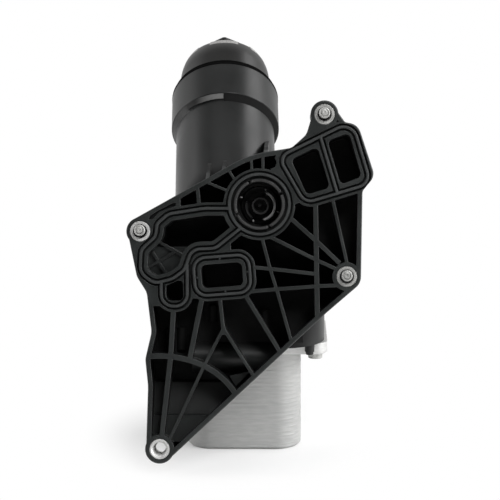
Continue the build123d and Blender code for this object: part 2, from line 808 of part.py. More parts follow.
# Screw cap: skirt with the seal groove, neck, domed top, stub for the cartridge and hexagon
neck_top = collar_height + face_seal_thick
skirt_bottom = cap_skirt_top - cap_skirt_length
dome_base = collar_height + cap_dome_centre
dome_top = collar_height + cap_top
dome_flat_r = (cap_dome_r**2 - (dome_top - dome_base) ** 2) ** 0.5
inner_top = dome_top - cap_wall
inner_dome_r = cap_dome_r - cap_wall
inner_flat_r = (inner_dome_r**2 - (inner_top - dome_base) ** 2) ** 0.5
seal_groove_half = seal_cord_r + seal_fit
seal_centre_r = bore_r - seal_fit - seal_cord_r
seal_floor_r = seal_centre_r - seal_cord_r - seal_fit
stub_bottom = media_top + end_cap_thick + cap_stub_gap
stub_top = inner_top + cap_wall / 2
with BuildPart() as cap:
    with BuildSketch(profile_plane):
        with BuildLine():
            Polyline(
                (dome_flat_r, dome_top),
                (0, dome_top),
                (0, inner_top),
                (inner_flat_r, inner_top),
            )
            RadiusArc((inner_flat_r, inner_top), (inner_dome_r, dome_base), inner_dome_r)
            Polyline(
                (inner_dome_r, dome_base),
                (skirt_inner_r, neck_top),
                (skirt_inner_r, skirt_bottom),
                (cap_skirt_r, skirt_bottom),
                (cap_skirt_r, seal_place - seal_groove_half),
                (seal_floor_r, seal_place - seal_groove_half),
                (seal_floor_r, seal_place + seal_groove_half),
                (cap_skirt_r, seal_place + seal_groove_half),
                (cap_skirt_r, cap_skirt_top),
                (cap_neck_r, cap_skirt_top),
                (cap_neck_r, neck_top),
                (cap_dome_r, neck_top),
                (cap_dome_r, dome_base),
            )
            RadiusArc((cap_dome_r, dome_base), (dome_flat_r, dome_top), -cap_dome_r)
        make_face()
        with BuildLine():
            Polyline(
                (cap_stub_bore_r, stub_top),
                (cap_stub_r, stub_top),
                (cap_stub_r, stub_bottom),
                (cap_spigot_r, stub_bottom),
                (cap_spigot_r, stub_bottom - cap_spigot_length),
                (cap_stub_bore_r, stub_bottom - cap_spigot_length),
                close=True,
            )
        make_face()
    revolve(axis=bowl_axis)
    circles = cap.edges().filter_by(GeomType.CIRCLE)
    fillet(circles.filter_by(lambda edge: abs(edge.radius - dome_flat_r) < 0.01), cap_top_round)
    with BuildSketch(tube_plane.offset(stub_top)):
        hexagon = RegularPolygon(cap_hex_flat / 2, 6, major_radius=False, rotation=cap_hex_turn)
        fillet(hexagon.vertices(), cap_hex_corner)
    extrude(amount=collar_height + cap_hex_top - stub_top)
    hex_top = cap.faces().sort_by(bowl_axis)[-1]
    chamfer(hex_top.edges(), cap_hex_chamfer)
cap.part.label = "filter_cap"
export_step(cap.part, "parts/filter_cap.step")

with BuildPart() as cap_seal:
    with BuildSketch(profile_plane):
        with Locations((seal_centre_r, seal_place)):
            Circle(seal_cord_r)
    revolve(axis=bowl_axis)
cap_seal.part.label = "cap_o_ring"
export_step(cap_seal.part, "parts/cap_o_ring.step")

# Flat seal between the collar and the cap
with BuildPart() as face_seal:
    with BuildSketch(tube_plane.offset(neck_top)):
        Circle(face_seal_r)
        Circle(cap_neck_r + seal_fit, mode=Mode.SUBTRACT)
    extrude(amount=face_seal_gap - face_seal_thick)
face_seal.part.label = "cap_face_seal"
export_step(face_seal.part, "parts/cap_face_seal.step")

# Cartridge: pleated paper, end caps and a slotted core tube
with BuildPart() as media:
    outer_points = []
    inner_points = []
    for pleat in range(pleats):
        crest = radians(360 * pleat / pleats)
        root = radians(360 * (pleat + 0.5) / pleats)
        for points, crest_r, root_r in (
            (outer_points, media_outer_r, media_root_r + pleat_wall),
            (inner_points, media_outer_r - pleat_wall, media_root_r),
        ):
            points.append((crest_r * cos(crest), crest_r * sin(crest)))
            points.append((root_r * cos(root), root_r * sin(root)))
    with BuildSketch(tube_plane.offset(media_bottom)):
        add(straight_face(outer_points))
        add(straight_face(inner_points), mode=Mode.SUBTRACT)
    extrude(amount=media_length)
media.part.label = "filter_media"
export_step(media.part, "parts/filter_media.step")

for name, level, direction, hole_r in (
    ("filter_end_cap_bottom", media_bottom, -1, standpipe_r + slide_clearance),
    ("filter_end_cap_top", media_top, 1, cap_spigot_r + slide_clearance),
):
    with BuildPart() as end_cap:
        with BuildSketch(tube_plane.offset(level)):
            Circle(end_cap_r)
            Circle(hole_r, mode=Mode.SUBTRACT)
        extrude(amount=direction * end_cap_thick)
        with BuildSketch(tube_plane.offset(level)):
            Circle(end_cap_r)
            Circle(media_outer_r + end_cap_clearance, mode=Mode.SUBTRACT)
        extrude(amount=-direction * end_cap_lip)
    end_cap.part.label = name
    export_step(end_cap.part, f"parts/{name}.step")

with BuildPart() as core_tube:
    with BuildSketch(tube_plane.offset(media_bottom)):
        Circle(core_outer_r)
        Circle(core_inner_r, mode=Mode.SUBTRACT)
    extrude(amount=media_length)
    window_pitch = media_length / core_window_rows
    for row in range(core_window_rows):
        level = media_bottom + (row + 0.5) * window_pitch - core_window_height / 2
        with BuildSketch(tube_plane.offset(level)):
            with PolarLocations(core_outer_r, core_windows):
                Rectangle(core_window_reach, core_window_width)
        extrude(amount=core_window_height, mode=Mode.SUBTRACT)
core_tube.part.label = "filter_core"
export_step(core_tube.part, "parts/filter_core.step")

# Standpipe on the bowl's floor with the bypass seat at its top
with BuildPart() as standpipe:
    with BuildSketch(profile_plane):
        with BuildLine():
            Polyline(
                (standpipe_r - standpipe_wall, bowl_bottom + standpipe_fit),
                (standpipe_foot_r, bowl_bottom + standpipe_fit),
                (standpipe_foot_r, bowl_bottom + standpipe_foot),
                (standpipe_r, bowl_bottom + standpipe_foot + standpipe_foot_bevel),
                (standpipe_r, pipe_top),
                (bypass_seat_r, pipe_top),
                (bypass_seat_r, pipe_top - bypass_seat_thick),
                (standpipe_r - standpipe_wall, pipe_top - bypass_seat_thick),
                close=True,
            )
        make_face()
    revolve(axis=bowl_axis)
    with BuildSketch(tube_plane.offset(bowl_bottom + standpipe_foot + standpipe_slot_start)):
        for turn in (0, 90):
            Rectangle(2 * standpipe_foot_r, standpipe_slot_width, rotation=turn)
    extrude(amount=standpipe_slot_length, mode=Mode.SUBTRACT)
standpipe.part.label = "standpipe"
export_step(standpipe.part, "parts/standpipe.step")

bypass_top = pipe_top - bypass_seat_thick - poppet_gap
retainer_top = bypass_top - bypass_poppet_thick - bypass_spring_length - 2 * spring_gap
stem_top = bypass_top - bypass_poppet_thick / 2
with BuildPart() as bypass_poppet:
    with BuildSketch(tube_plane.offset(bypass_top)):
        Circle(bypass_poppet_r)
    extrude(amount=-bypass_poppet_thick)
    with BuildSketch(tube_plane.offset(stem_top)):
        Circle(bypass_stem_r)
    extrude(amount=retainer_top - retainer_thick - bypass_stem_out - stem_top)
bypass_poppet.part.label = "bypass_poppet"
export_step(bypass_poppet.part, "parts/bypass_poppet.step")

with BuildPart() as bypass_retainer:
    with BuildSketch(tube_plane.offset(retainer_top)):
        Circle(standpipe_r - standpipe_wall - standpipe_fit)
        Circle(bypass_stem_r + slide_clearance, mode=Mode.SUBTRACT)
        with PolarLocations(retainer_hole_place, retainer_holes):
            Circle(retainer_hole_r, mode=Mode.SUBTRACT)
    extrude(amount=-retainer_thick)
bypass_retainer.part.label = "bypass_retainer"
export_step(bypass_retainer.part, "parts/bypass_retainer.step")

bypass_spring = coil_spring(
    tube_plane.offset(retainer_top + spring_gap),
    bypass_spring_r,
    bypass_wire_r,
    bypass_spring_length,
    bypass_spring_turns,
)
bypass_spring.part.label = "bypass_spring"
export_step(bypass_spring.part, "parts/bypass_spring.step")

# Cooler: plate stack with a groove under each plate's lip
plate_pitch = core_height / core_plates
with BuildPart() as cooler_core:
    with BuildSketch(cooler_plane):
        RectangleRounded(*core_size, core_corner)
    extrude(amount=core_height)
    for layer in range(core_plates):
        groove_level = (layer + 1 - core_groove_share) * plate_pitch
        with BuildSketch(cooler_plane.offset(groove_level)):
            RectangleRounded(*core_size, core_corner)
            RectangleRounded(
                core_size[0] - 2 * core_groove,
                core_size[1] - 2 * core_groove,
                core_corner - core_groove,
                mode=Mode.SUBTRACT,
            )
        extrude(amount=core_groove_share * plate_pitch, mode=Mode.SUBTRACT)
    with BuildSketch(cooler_plane.offset(core_height)):
        with Locations(cooler_ports):
            Circle(cooler_port_r)
    extrude(amount=-core_port_depth, mode=Mode.SUBTRACT)
cooler_core.part.label = "cooler_core"
export_step(cooler_core.part, "parts/cooler_core.step")

with BuildPart() as end_plate:
    with BuildSketch(cooler_plane):
        RectangleRounded(
            core_size[0] - 2 * end_plate_inset,
            core_size[1] - 2 * end_plate_inset,
            core_corner - end_plate_inset,
        )
    extrude(amount=-end_plate_thick)
end_plate.part.label = "cooler_end_plate"
export_step(end_plate.part, "parts/cooler_end_plate.step")

with BuildPart() as mount_plate:
    with BuildSketch(cooler_plane.offset(core_height)):
        RectangleRounded(*plate_size, plate_corner)
        with Locations(cooler_ports):
            Circle(cooler_port_r, mode=Mode.SUBTRACT)
        with Locations(screw_places):
            Circle(screw_r + screw_clearance, mode=Mode.SUBTRACT)
    extrude(amount=plate_thick)
    plate_bottom = mount_plate.faces().sort_by(Axis((0, 0, 0), cooler_plane.z_dir))[0]
    chamfer(plate_bottom.outer_wire().edges(), plate_chamfer)
mount_plate.part.label = "cooler_mount_plate"
export_step(mount_plate.part, "parts/cooler_mount_plate.step")

with BuildPart() as cooler_seals:
    seal_plane = foot_plane.offset(seal_ring_cord_r + seal_ring_fit)
    for place in cooler_ports:
        centre = seal_plane.from_local_coords(place)
        with BuildSketch(Plane(origin=centre, x_dir=(1, 0, 0), z_dir=-cooler_plane.y_dir)):
            with Locations((seal_ring_r, 0)):
                Circle(seal_ring_cord_r)
        revolve(axis=Axis(centre, cooler_plane.z_dir))
cooler_seals.part.label = "cooler_seals"
export_step(cooler_seals.part, "parts/cooler_seals.step")

with BuildPart() as cooler_screws:
    with BuildSketch(cooler_plane.offset(core_height)):
        with Locations(screw_places):
            Circle(screw_head_r)
    extrude(amount=-screw_head_height)
    with BuildSketch(cooler_plane.offset(core_height - screw_head_height / 2)):
        with Locations(screw_places):
            Circle(screw_r)
    extrude(amount=screw_head_height / 2 + plate_thick + screw_depth - screw_end_gap)
    with BuildSketch(cooler_plane.offset(core_height - screw_head_height)):
        with Locations(screw_places):
            RegularPolygon(screw_socket_r, 6)
    extrude(amount=screw_head_height / 2, mode=Mode.SUBTRACT)
cooler_screws.part.label = "cooler_screws"
export_step(cooler_screws.part, "parts/cooler_screws.step")
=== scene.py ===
import json
from math import ceil, cos, pi, radians, sin

import bmesh
import bpy
from mathutils import Matrix, Vector

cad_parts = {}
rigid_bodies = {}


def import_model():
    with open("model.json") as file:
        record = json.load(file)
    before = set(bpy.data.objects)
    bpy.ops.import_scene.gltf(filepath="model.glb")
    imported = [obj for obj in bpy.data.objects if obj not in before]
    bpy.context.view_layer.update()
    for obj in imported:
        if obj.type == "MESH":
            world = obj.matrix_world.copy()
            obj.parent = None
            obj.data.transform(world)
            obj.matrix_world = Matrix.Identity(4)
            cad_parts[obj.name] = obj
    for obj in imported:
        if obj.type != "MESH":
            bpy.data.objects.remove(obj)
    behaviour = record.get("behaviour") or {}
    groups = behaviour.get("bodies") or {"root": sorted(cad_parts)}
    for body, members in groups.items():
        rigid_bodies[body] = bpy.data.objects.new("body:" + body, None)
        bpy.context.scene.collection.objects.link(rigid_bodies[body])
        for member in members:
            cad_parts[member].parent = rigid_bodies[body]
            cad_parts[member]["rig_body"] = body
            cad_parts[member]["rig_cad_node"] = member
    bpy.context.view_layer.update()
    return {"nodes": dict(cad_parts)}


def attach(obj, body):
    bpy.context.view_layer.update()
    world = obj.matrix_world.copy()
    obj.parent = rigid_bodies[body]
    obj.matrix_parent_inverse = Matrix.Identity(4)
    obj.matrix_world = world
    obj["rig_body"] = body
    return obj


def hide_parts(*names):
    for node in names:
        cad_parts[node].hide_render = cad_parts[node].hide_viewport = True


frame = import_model()
nodes = frame["nodes"]
print("frame loaded,", len(nodes), "nodes")

# Sizes and places of pieces are in mm and their angles in degrees. The stage, the places of the axes,
# and the bump, rounding and bore range of a look are in metres.
mm = 0.001
mergeDistance = 1e-6  # points closer than this, in metres, become one
fewestSteps = 6  # of a swept arc, however short
flatAngle = 0.5  # faces of a CAD node become one where they meet at less than this many degrees
facing = 0.9  # a face looks along an axis when its normal has more than this of it

# Axes of the three sub-assemblies: gasket face, filter bowl and cooler

axes = {
    "bowlPlace": (0.03995, 0.110, 0.2214), "bowlLean": -40, "bowlTilt": -1.6,
    "coolerPlace": (0.05475, 0.0922, 0.0016), "coolerLean": 12,
}
flangeFrame = Matrix.Rotation(radians(90), 4, "X")
bowlFrame = (
    Matrix.Translation(axes["bowlPlace"])
    @ Matrix.Rotation(radians(axes["bowlLean"]), 4, "X")
    @ Matrix.Rotation(radians(axes["bowlTilt"]), 4, "Y")
)
coolerFrame = Matrix.Translation(axes["coolerPlace"]) @ Matrix.Rotation(radians(axes["coolerLean"]), 4, "X")


# Modelling helpers

def clearSelection():
    if bpy.context.object and bpy.context.object.mode != "OBJECT":
        bpy.ops.object.mode_set(mode="OBJECT")
    bpy.ops.object.select_all(action="DESELECT")


def makeActive(piece):
    clearSelection()
    piece.select_set(True)
    bpy.context.view_layer.objects.active = piece


def pickFaces(piece, test):  # for a piece in edit mode, which keeps those faces selected
    bpy.ops.mesh.select_mode(type="FACE")
    bpy.ops.mesh.select_all(action="DESELECT")
    for face in bmesh.from_edit_mesh(piece.data).faces:
        if test(face):
            face.select_set(True)
    bmesh.update_edit_mesh(piece.data)


def pickEdges(piece, test):
    bpy.ops.mesh.select_mode(type="EDGE")
    bpy.ops.mesh.select_all(action="DESELECT")
    for edge in bmesh.from_edit_mesh(piece.data).edges:
        if test(edge):
            edge.select_set(True)
    bmesh.update_edit_mesh(piece.data)


def drawProfile(points):  # a chain of edges, (radius, height) in mm, in the XZ plane
    clearSelection()
    bpy.ops.mesh.primitive_plane_add(size=mm)
    piece = bpy.context.object
    bpy.ops.object.mode_set(mode="EDIT")
    bpy.ops.mesh.select_mode(type="VERT")
    bpy.ops.mesh.select_all(action="SELECT")
    bpy.ops.mesh.merge(type="CENTER")
    radius, height = points[0]
    bpy.ops.transform.translate(value=(radius * mm, 0, height * mm))
    for (fromR, fromH), (toR, toH) in zip(points, points[1:]):
        step = ((toR - fromR) * mm, 0, (toH - fromH) * mm)
        bpy.ops.mesh.extrude_vertices_move(TRANSFORM_OT_translate={"value": step})
    return piece


def turnProfile(points, steps=48, closed=True):  # turned about Z
    loop = points + [points[0]] if closed else points
    piece = drawProfile(loop)
    bpy.ops.mesh.select_all(action="SELECT")
    bpy.ops.mesh.spin(steps=steps, angle=2 * pi, center=(0, 0, 0), axis=(0, 0, 1))
    bpy.ops.mesh.select_all(action="SELECT")
    bpy.ops.mesh.remove_doubles(threshold=mergeDistance)
    bpy.ops.mesh.normals_make_consistent(inside=False)
    bpy.ops.object.mode_set(mode="OBJECT")
    return piece


def sweepProfile(points, degrees, stepAngle):  # a closed outline swept about Z, closed at both ends
    piece = drawProfile(points + [points[0]])
    bpy.ops.mesh.select_all(action="SELECT")
    bpy.ops.mesh.remove_doubles(threshold=mergeDistance)
    bpy.ops.mesh.select_all(action="SELECT")
    bpy.ops.mesh.edge_face_add()
    steps = max(fewestSteps, int(degrees / stepAngle))
    bpy.ops.mesh.spin(steps=steps, angle=radians(degrees), center=(0, 0, 0), axis=(0, 0, -1))
    bpy.ops.mesh.select_all(action="SELECT")
    bpy.ops.mesh.normals_make_consistent(inside=False)
    bpy.ops.object.mode_set(mode="OBJECT")
    return piece


def addBall(radius):
    clearSelection()
    bpy.ops.mesh.primitive_uv_sphere_add(segments=16, ring_count=8, radius=radius * mm)
    return bpy.context.object


def applyModifiers(piece):
    makeActive(piece)
    for modifier in list(piece.modifiers):
        bpy.ops.object.modifier_apply(modifier=modifier.name)


def moveBy(x, y, z):  # in mm
    return Matrix.Translation((x * mm, y * mm, z * mm))


def placePiece(piece, place):
    makeActive(piece)
    piece.matrix_world = place
    bpy.ops.object.transform_apply(location=True, rotation=True, scale=True)


def copyPiece(piece, name):
    twin = piece.copy()
    twin.data = piece.data.copy()
    twin.name = name
    bpy.context.collection.objects.link(twin)
    return twin


def joinPieces(pieces):
    clearSelection()
    for piece in pieces:
        piece.select_set(True)
    bpy.context.view_layer.objects.active = pieces[0]
    bpy.ops.object.join()
    return bpy.context.object


def smoothBy(piece, degrees):
    makeActive(piece)
    bpy.ops.object.shade_smooth_by_angle(angle=radians(degrees))


def finishPiece(piece, name, body, material, standsFor=()):
    piece.name = name
    piece.data.name = name
    if material:
        piece.data.materials.clear()
        piece.data.materials.append(material)
    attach(piece, body)
    if standsFor:
        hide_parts(*standsFor)


def copyNode(node, name):  # a merged copy of a CAD node that can be worked on
    piece = copyPiece(nodes[node], name)
    piece.parent = None
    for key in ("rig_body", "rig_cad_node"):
        if key in piece:
            del piece[key]
    makeActive(piece)
    bpy.ops.object.mode_set(mode="EDIT")
    bpy.ops.mesh.select_all(action="SELECT")
    bpy.ops.mesh.remove_doubles(threshold=mergeDistance)
    bpy.ops.mesh.customdata_custom_splitnormals_clear()
    bpy.ops.mesh.dissolve_limited(angle_limit=radians(flatAngle))
    bpy.ops.object.mode_set(mode="OBJECT")
    return piece


# Shader helpers

def newGroup(name, inputs, outputs):
    group = bpy.data.node_groups.new(name, "ShaderNodeTree")
    for label, kind, value in inputs:
        socket = group.interface.new_socket(label, in_out="INPUT", socket_type=kind)
        if value is not None:
            socket.default_value = value
    for label, kind in outputs:
        group.interface.new_socket(label, in_out="OUTPUT", socket_type=kind)
    entry = group.nodes.new("NodeGroupInput")
    leave = group.nodes.new("NodeGroupOutput")
    return group, entry, leave


def addMath(tree, operation, first, second):
    node = tree.nodes.new("ShaderNodeMath")
    node.operation = operation
    for socket, value in zip(node.inputs, (first, second)):
        if isinstance(value, (int, float)):
            socket.default_value = value
        else:
            tree.links.new(value, socket)
    return node.outputs[0]


# Camera and stage

view = {
    "place": (0.0835, -1.1, 0.1327),
    "aim": (0.0602, 0.0, 0.1327),
    "lens": 119.0,
    "shift": (0.0004, 0.0003),
    "sensor": 36,
}


def lookFrom(place, aim):
    return (Vector(aim) - Vector(place)).to_track_quat("-Z", "Y").to_euler()


clearSelection()
bpy.ops.object.camera_add(location=view["place"])
camera = bpy.context.object
camera.name = "viewCamera"
camera.data.lens = view["lens"]
camera.data.shift_x, camera.data.shift_y = view["shift"]
camera.data.sensor_width = view["sensor"]
camera.rotation_euler = lookFrom(view["place"], view["aim"])
bpy.context.scene.camera = camera
bpy.context.scene.view_settings.view_transform = "Standard"

studio = {
    "floorSize": 3.0,
    "floorDrop": 1.6 * mm,
    "floorTone": 0.7,
    "floorGlow": 0.25,
    "floorFade": (0.045, 0.12),  # from the shadow near the cooler to plain white
    "frontTone": 0.05,  # the room behind the camera is dark
    "backTone": 0.95,
    "toneRange": (-0.35, 0.55),  # from the front tone to the back tone, along Y
    "lights": [
        # name, place, aim, size, power
        ("topLight", (0.0, -0.35, 1.2), (0.06, 0.03, 0.12), (0.8, 0.4), 1.3),
        ("rimLight", (0.9, 0.25, 1.05), (0.04, 0.05, 0.25), (0.6, 0.6), 3),
        ("rightLight", (1.15, -0.4, 0.4), (0.06, 0.03, 0.14), (0.9, 1.2), 15),
        ("leftLight", (-1.05, 0.0, 0.45), (0.05, 0.03, 0.14), (0.6, 1.2), 5),
        ("fillLight", (0.5, -1.0, 0.95), (0.06, 0.0, 0.12), (0.5, 0.5), 8),
    ],
}


def buildFloorMaterial():  # white where it is far from the cooler, shaded near it
    material = bpy.data.materials.new("paleFloor")
    material.use_nodes = True
    tree = material.node_tree
    links = tree.links
    tree.nodes.clear()
    diffuse = tree.nodes.new("ShaderNodeBsdfDiffuse")
    tone = studio["floorTone"]
    diffuse.inputs["Color"].default_value = (tone, tone, tone, 1)
    path = tree.nodes.new("ShaderNodeLightPath")
    seen = addMath(tree, "MAXIMUM", path.outputs["Is Camera Ray"], path.outputs["Is Glossy Ray"])
    glow = tree.nodes.new("ShaderNodeEmission")
    links.new(addMath(tree, "MULTIPLY", seen, studio["floorGlow"]), glow.inputs["Strength"])
    near = tree.nodes.new("ShaderNodeAddShader")
    links.new(diffuse.outputs[0], near.inputs[0])
    links.new(glow.outputs[0], near.inputs[1])
    white = tree.nodes.new("ShaderNodeEmission")
    white.inputs["Strength"].default_value = 1
    coordinates = tree.nodes.new("ShaderNodeTexCoord")
    distance = tree.nodes.new("ShaderNodeVectorMath")
    distance.operation = "LENGTH"
    links.new(coordinates.outputs["Object"], distance.inputs[0])
    fade = tree.nodes.new("ShaderNodeMapRange")
    fade.interpolation_type = "SMOOTHSTEP"
    fade.inputs["From Min"].default_value, fade.inputs["From Max"].default_value = studio["floorFade"]
    links.new(distance.outputs["Value"], fade.inputs["Value"])
    mix = tree.nodes.new("ShaderNodeMixShader")
    links.new(addMath(tree, "MULTIPLY", fade.outputs["Result"], seen), mix.inputs["Fac"])
    links.new(near.outputs[0], mix.inputs[1])
    links.new(white.outputs[0], mix.inputs[2])
    output = tree.nodes.new("ShaderNodeOutputMaterial")
    links.new(mix.outputs[0], output.inputs["Surface"])
    return material


def buildFloor():
    clearSelection()
    bpy.ops.mesh.primitive_plane_add(size=studio["floorSize"])
    floor = bpy.context.object
    floor.name = "floor"
    floor.matrix_world = coolerFrame @ Matrix.Translation((0, 0, -studio["floorDrop"]))
    floor.data.materials.append(buildFloorMaterial())


def buildLights():
    for name, place, aim, size, power in studio["lights"]:
        bpy.ops.object.light_add(type="AREA", location=place)
        lamp = bpy.context.object
        lamp.name = name
        lamp.data.shape = "RECTANGLE"
        lamp.data.size, lamp.data.size_y = size
        lamp.data.energy = power
        lamp.rotation_euler = lookFrom(place, aim)


def buildRoom():  # soft light that grows toward the back, and plain white for the camera
    world = bpy.data.worlds.new("studioWorld")
    world.use_nodes = True
    bpy.context.scene.world = world
    tree = world.node_tree
    links = tree.links
    tree.nodes.clear()
    coordinates = tree.nodes.new("ShaderNodeTexCoord")
    split = tree.nodes.new("ShaderNodeSeparateXYZ")
    links.new(coordinates.outputs["Generated"], split.inputs[0])
    depth = tree.nodes.new("ShaderNodeMapRange")
    depth.interpolation_type = "SMOOTHSTEP"
    depth.inputs["From Min"].default_value, depth.inputs["From Max"].default_value = studio["toneRange"]
    depth.inputs["To Min"].default_value = studio["frontTone"]
    depth.inputs["To Max"].default_value = studio["backTone"]
    links.new(split.outputs["Y"], depth.inputs["Value"])
    soft = tree.nodes.new("ShaderNodeBackground")
    links.new(depth.outputs["Result"], soft.inputs["Strength"])
    white = tree.nodes.new("ShaderNodeBackground")
    white.inputs["Color"].default_value = (1, 1, 1, 1)
    path = tree.nodes.new("ShaderNodeLightPath")
    mix = tree.nodes.new("ShaderNodeMixShader")
    links.new(path.outputs["Is Camera Ray"], mix.inputs["Fac"])
    links.new(soft.outputs[0], mix.inputs[1])
    links.new(white.outputs[0], mix.inputs[2])
    output = tree.nodes.new("ShaderNodeOutputWorld")
    links.new(mix.outputs[0], output.inputs["Surface"])


buildFloor()
buildLights()
buildRoom()
print("stage built")


# Shared shader node groups

grainShape = {
    "speckleDetail": 2, "flowDetail": 4, "flowTwist": 0.6,
    "scratchScale": 900, "scratchStretch": (1.0, 0.6, 0.06), "scratchRange": (0.66, 0.74),
}
drawnShape = {"lineDetail": 3, "blotchDetail": 5, "pitScale": 700}


def buildMouldedGrain():  # fine moulded skin: speckle, slow flow marks and the odd scuff
    group, entry, leave = newGroup(
        "mouldedGrain",
        [
            ("Vector", "NodeSocketVector", None),
            ("Grain Scale", "NodeSocketFloat", 2600.0),
            ("Flow Scale", "NodeSocketFloat", 60.0),
            ("Grain", "NodeSocketFloat", 0.5),
            ("Flow", "NodeSocketFloat", 0.3),
            ("Scuffs", "NodeSocketFloat", 0.2),
        ],
        [("Height", "NodeSocketFloat"), ("Tone", "NodeSocketFloat"), ("Scuff Mask", "NodeSocketFloat")],
    )
    links = group.links
    speckle = group.nodes.new("ShaderNodeTexNoise")
    speckle.inputs["Detail"].default_value = grainShape["speckleDetail"]
    flow = group.nodes.new("ShaderNodeTexNoise")
    flow.inputs["Detail"].default_value = grainShape["flowDetail"]
    flow.inputs["Distortion"].default_value = grainShape["flowTwist"]
    scratches = group.nodes.new("ShaderNodeTexNoise")
    scratches.inputs["Scale"].default_value = grainShape["scratchScale"]
    stretch = group.nodes.new("ShaderNodeMapping")
    stretch.inputs["Scale"].default_value = grainShape["scratchStretch"]
    links.new(entry.outputs["Vector"], speckle.inputs["Vector"])
    links.new(entry.outputs["Vector"], flow.inputs["Vector"])
    links.new(entry.outputs["Vector"], stretch.inputs["Vector"])
    links.new(stretch.outputs[0], scratches.inputs["Vector"])
    links.new(entry.outputs["Grain Scale"], speckle.inputs["Scale"])
    links.new(entry.outputs["Flow Scale"], flow.inputs["Scale"])
    grain = addMath(group, "MULTIPLY", speckle.outputs[0], entry.outputs["Grain"])
    waves = addMath(group, "MULTIPLY", flow.outputs[0], entry.outputs["Flow"])
    links.new(addMath(group, "ADD", grain, waves), leave.inputs["Height"])
    marks = group.nodes.new("ShaderNodeMapRange")
    low, high = grainShape["scratchRange"]
    marks.inputs["From Min"].default_value, marks.inputs["From Max"].default_value = low, high
    links.new(scratches.outputs[0], marks.inputs["Value"])
    mask = addMath(group, "MULTIPLY", marks.outputs[0], entry.outputs["Scuffs"])
    links.new(mask, leave.inputs["Scuff Mask"])
    links.new(flow.outputs[0], leave.inputs["Tone"])
    return group


def buildDrawnMetal():  # fine lines, blotches and small pits on worked metal
    group, entry, leave = newGroup(
        "drawnMetal",
        [
            ("Vector", "NodeSocketVector", None),
            ("Line Scale", "NodeSocketFloat", 1500.0),
            ("Blotch Scale", "NodeSocketFloat", 90.0),
            ("Lines", "NodeSocketFloat", 0.5),
            ("Pits", "NodeSocketFloat", 0.3),
        ],
        [("Height", "NodeSocketFloat"), ("Tone", "NodeSocketFloat"), ("Blotch", "NodeSocketFloat")],
    )
    links = group.links
    lines = group.nodes.new("ShaderNodeTexNoise")
    lines.inputs["Detail"].default_value = drawnShape["lineDetail"]
    blotch = group.nodes.new("ShaderNodeTexNoise")
    blotch.inputs["Detail"].default_value = drawnShape["blotchDetail"]
    pits = group.nodes.new("ShaderNodeTexVoronoi")
    pits.inputs["Scale"].default_value = drawnShape["pitScale"]
    for node in (lines, blotch, pits):
        links.new(entry.outputs["Vector"], node.inputs["Vector"])
    links.new(entry.outputs["Line Scale"], lines.inputs["Scale"])
    links.new(entry.outputs["Blotch Scale"], blotch.inputs["Scale"])
    fine = addMath(group, "MULTIPLY", lines.outputs[0], entry.outputs["Lines"])
    dents = addMath(group, "MULTIPLY", pits.outputs["Distance"], entry.outputs["Pits"])
    links.new(addMath(group, "ADD", fine, dents), leave.inputs["Height"])
    both = addMath(group, "ADD", lines.outputs[0], blotch.outputs[0])
    links.new(addMath(group, "MULTIPLY", both, 0.5), leave.inputs["Tone"])
    links.new(blotch.outputs[0], leave.inputs["Blotch"])
    return group


mouldedGrain = buildMouldedGrain()
drawnMetal = buildDrawnMetal()


# Materials

noiseRange = (0.3, 0.7)  # most of a noise's values lie between these


def startMaterial(name, stretch=(1, 1, 1)):  # its patterns lie on the piece's own coordinates
    material = bpy.data.materials.new(name)
    material.use_nodes = True
    tree = material.node_tree
    shader = tree.nodes["Principled BSDF"]
    coordinates = tree.nodes.new("ShaderNodeTexCoord")
    mapping = tree.nodes.new("ShaderNodeMapping")
    mapping.inputs["Scale"].default_value = stretch
    tree.links.new(coordinates.outputs["Object"], mapping.inputs["Vector"])
    return material, tree, shader, mapping.outputs[0]


def mixTones(tree, factor, dark, light):
    ramp = tree.nodes.new("ShaderNodeValToRGB")
    for element, position, tone in zip(ramp.color_ramp.elements, noiseRange, (dark, light)):
        element.position = position
        element.color = (*tone, 1)
    tree.links.new(factor, ramp.inputs["Fac"])
    return ramp.outputs["Color"]


def rangeTo(tree, factor, low, high, source=noiseRange):
    node = tree.nodes.new("ShaderNodeMapRange")
    node.inputs["From Min"].default_value, node.inputs["From Max"].default_value = source
    node.inputs["To Min"].default_value = low
    node.inputs["To Max"].default_value = high
    tree.links.new(factor, node.inputs["Value"])
    return node.outputs["Result"]


def addBump(tree, shader, height, strength, distance, edgeRound=0.0):
    bump = tree.nodes.new("ShaderNodeBump")
    bump.inputs["Strength"].default_value = strength
    bump.inputs["Distance"].default_value = distance
    tree.links.new(height, bump.inputs["Height"])
    if edgeRound:
        rounding = tree.nodes.new("ShaderNodeBevel")
        rounding.samples = 4
        rounding.inputs["Radius"].default_value = edgeRound
        tree.links.new(rounding.outputs["Normal"], bump.inputs["Normal"])
    tree.links.new(bump.outputs["Normal"], shader.inputs["Normal"])


def placeAlong(tree, axis):  # where a point of the piece is along X, Y or Z
    coordinates = next(node for node in tree.nodes if node.type == "TEX_COORD")
    place = tree.nodes.new("ShaderNodeSeparateXYZ")
    tree.links.new(coordinates.outputs["Object"], place.inputs[0])
    return place.outputs[axis]


def rampAlong(tree, axis, start, stops):  # stops: distance from start in mm, value
    reach = stops[-1][0]
    depth = rangeTo(tree, placeAlong(tree, axis), 0, 1, (start * mm, (start + reach) * mm))
    ramp = tree.nodes.new("ShaderNodeValToRGB")
    steps = ramp.color_ramp.elements  # a new ramp has two of them
    for count, (distance, level) in enumerate(stops):
        step = steps[count] if count < 2 else steps.new(distance / reach)
        step.position = distance / reach
        step.color = (level, level, level, 1)
    tree.links.new(depth, ramp.inputs["Fac"])
    return ramp.outputs["Color"]


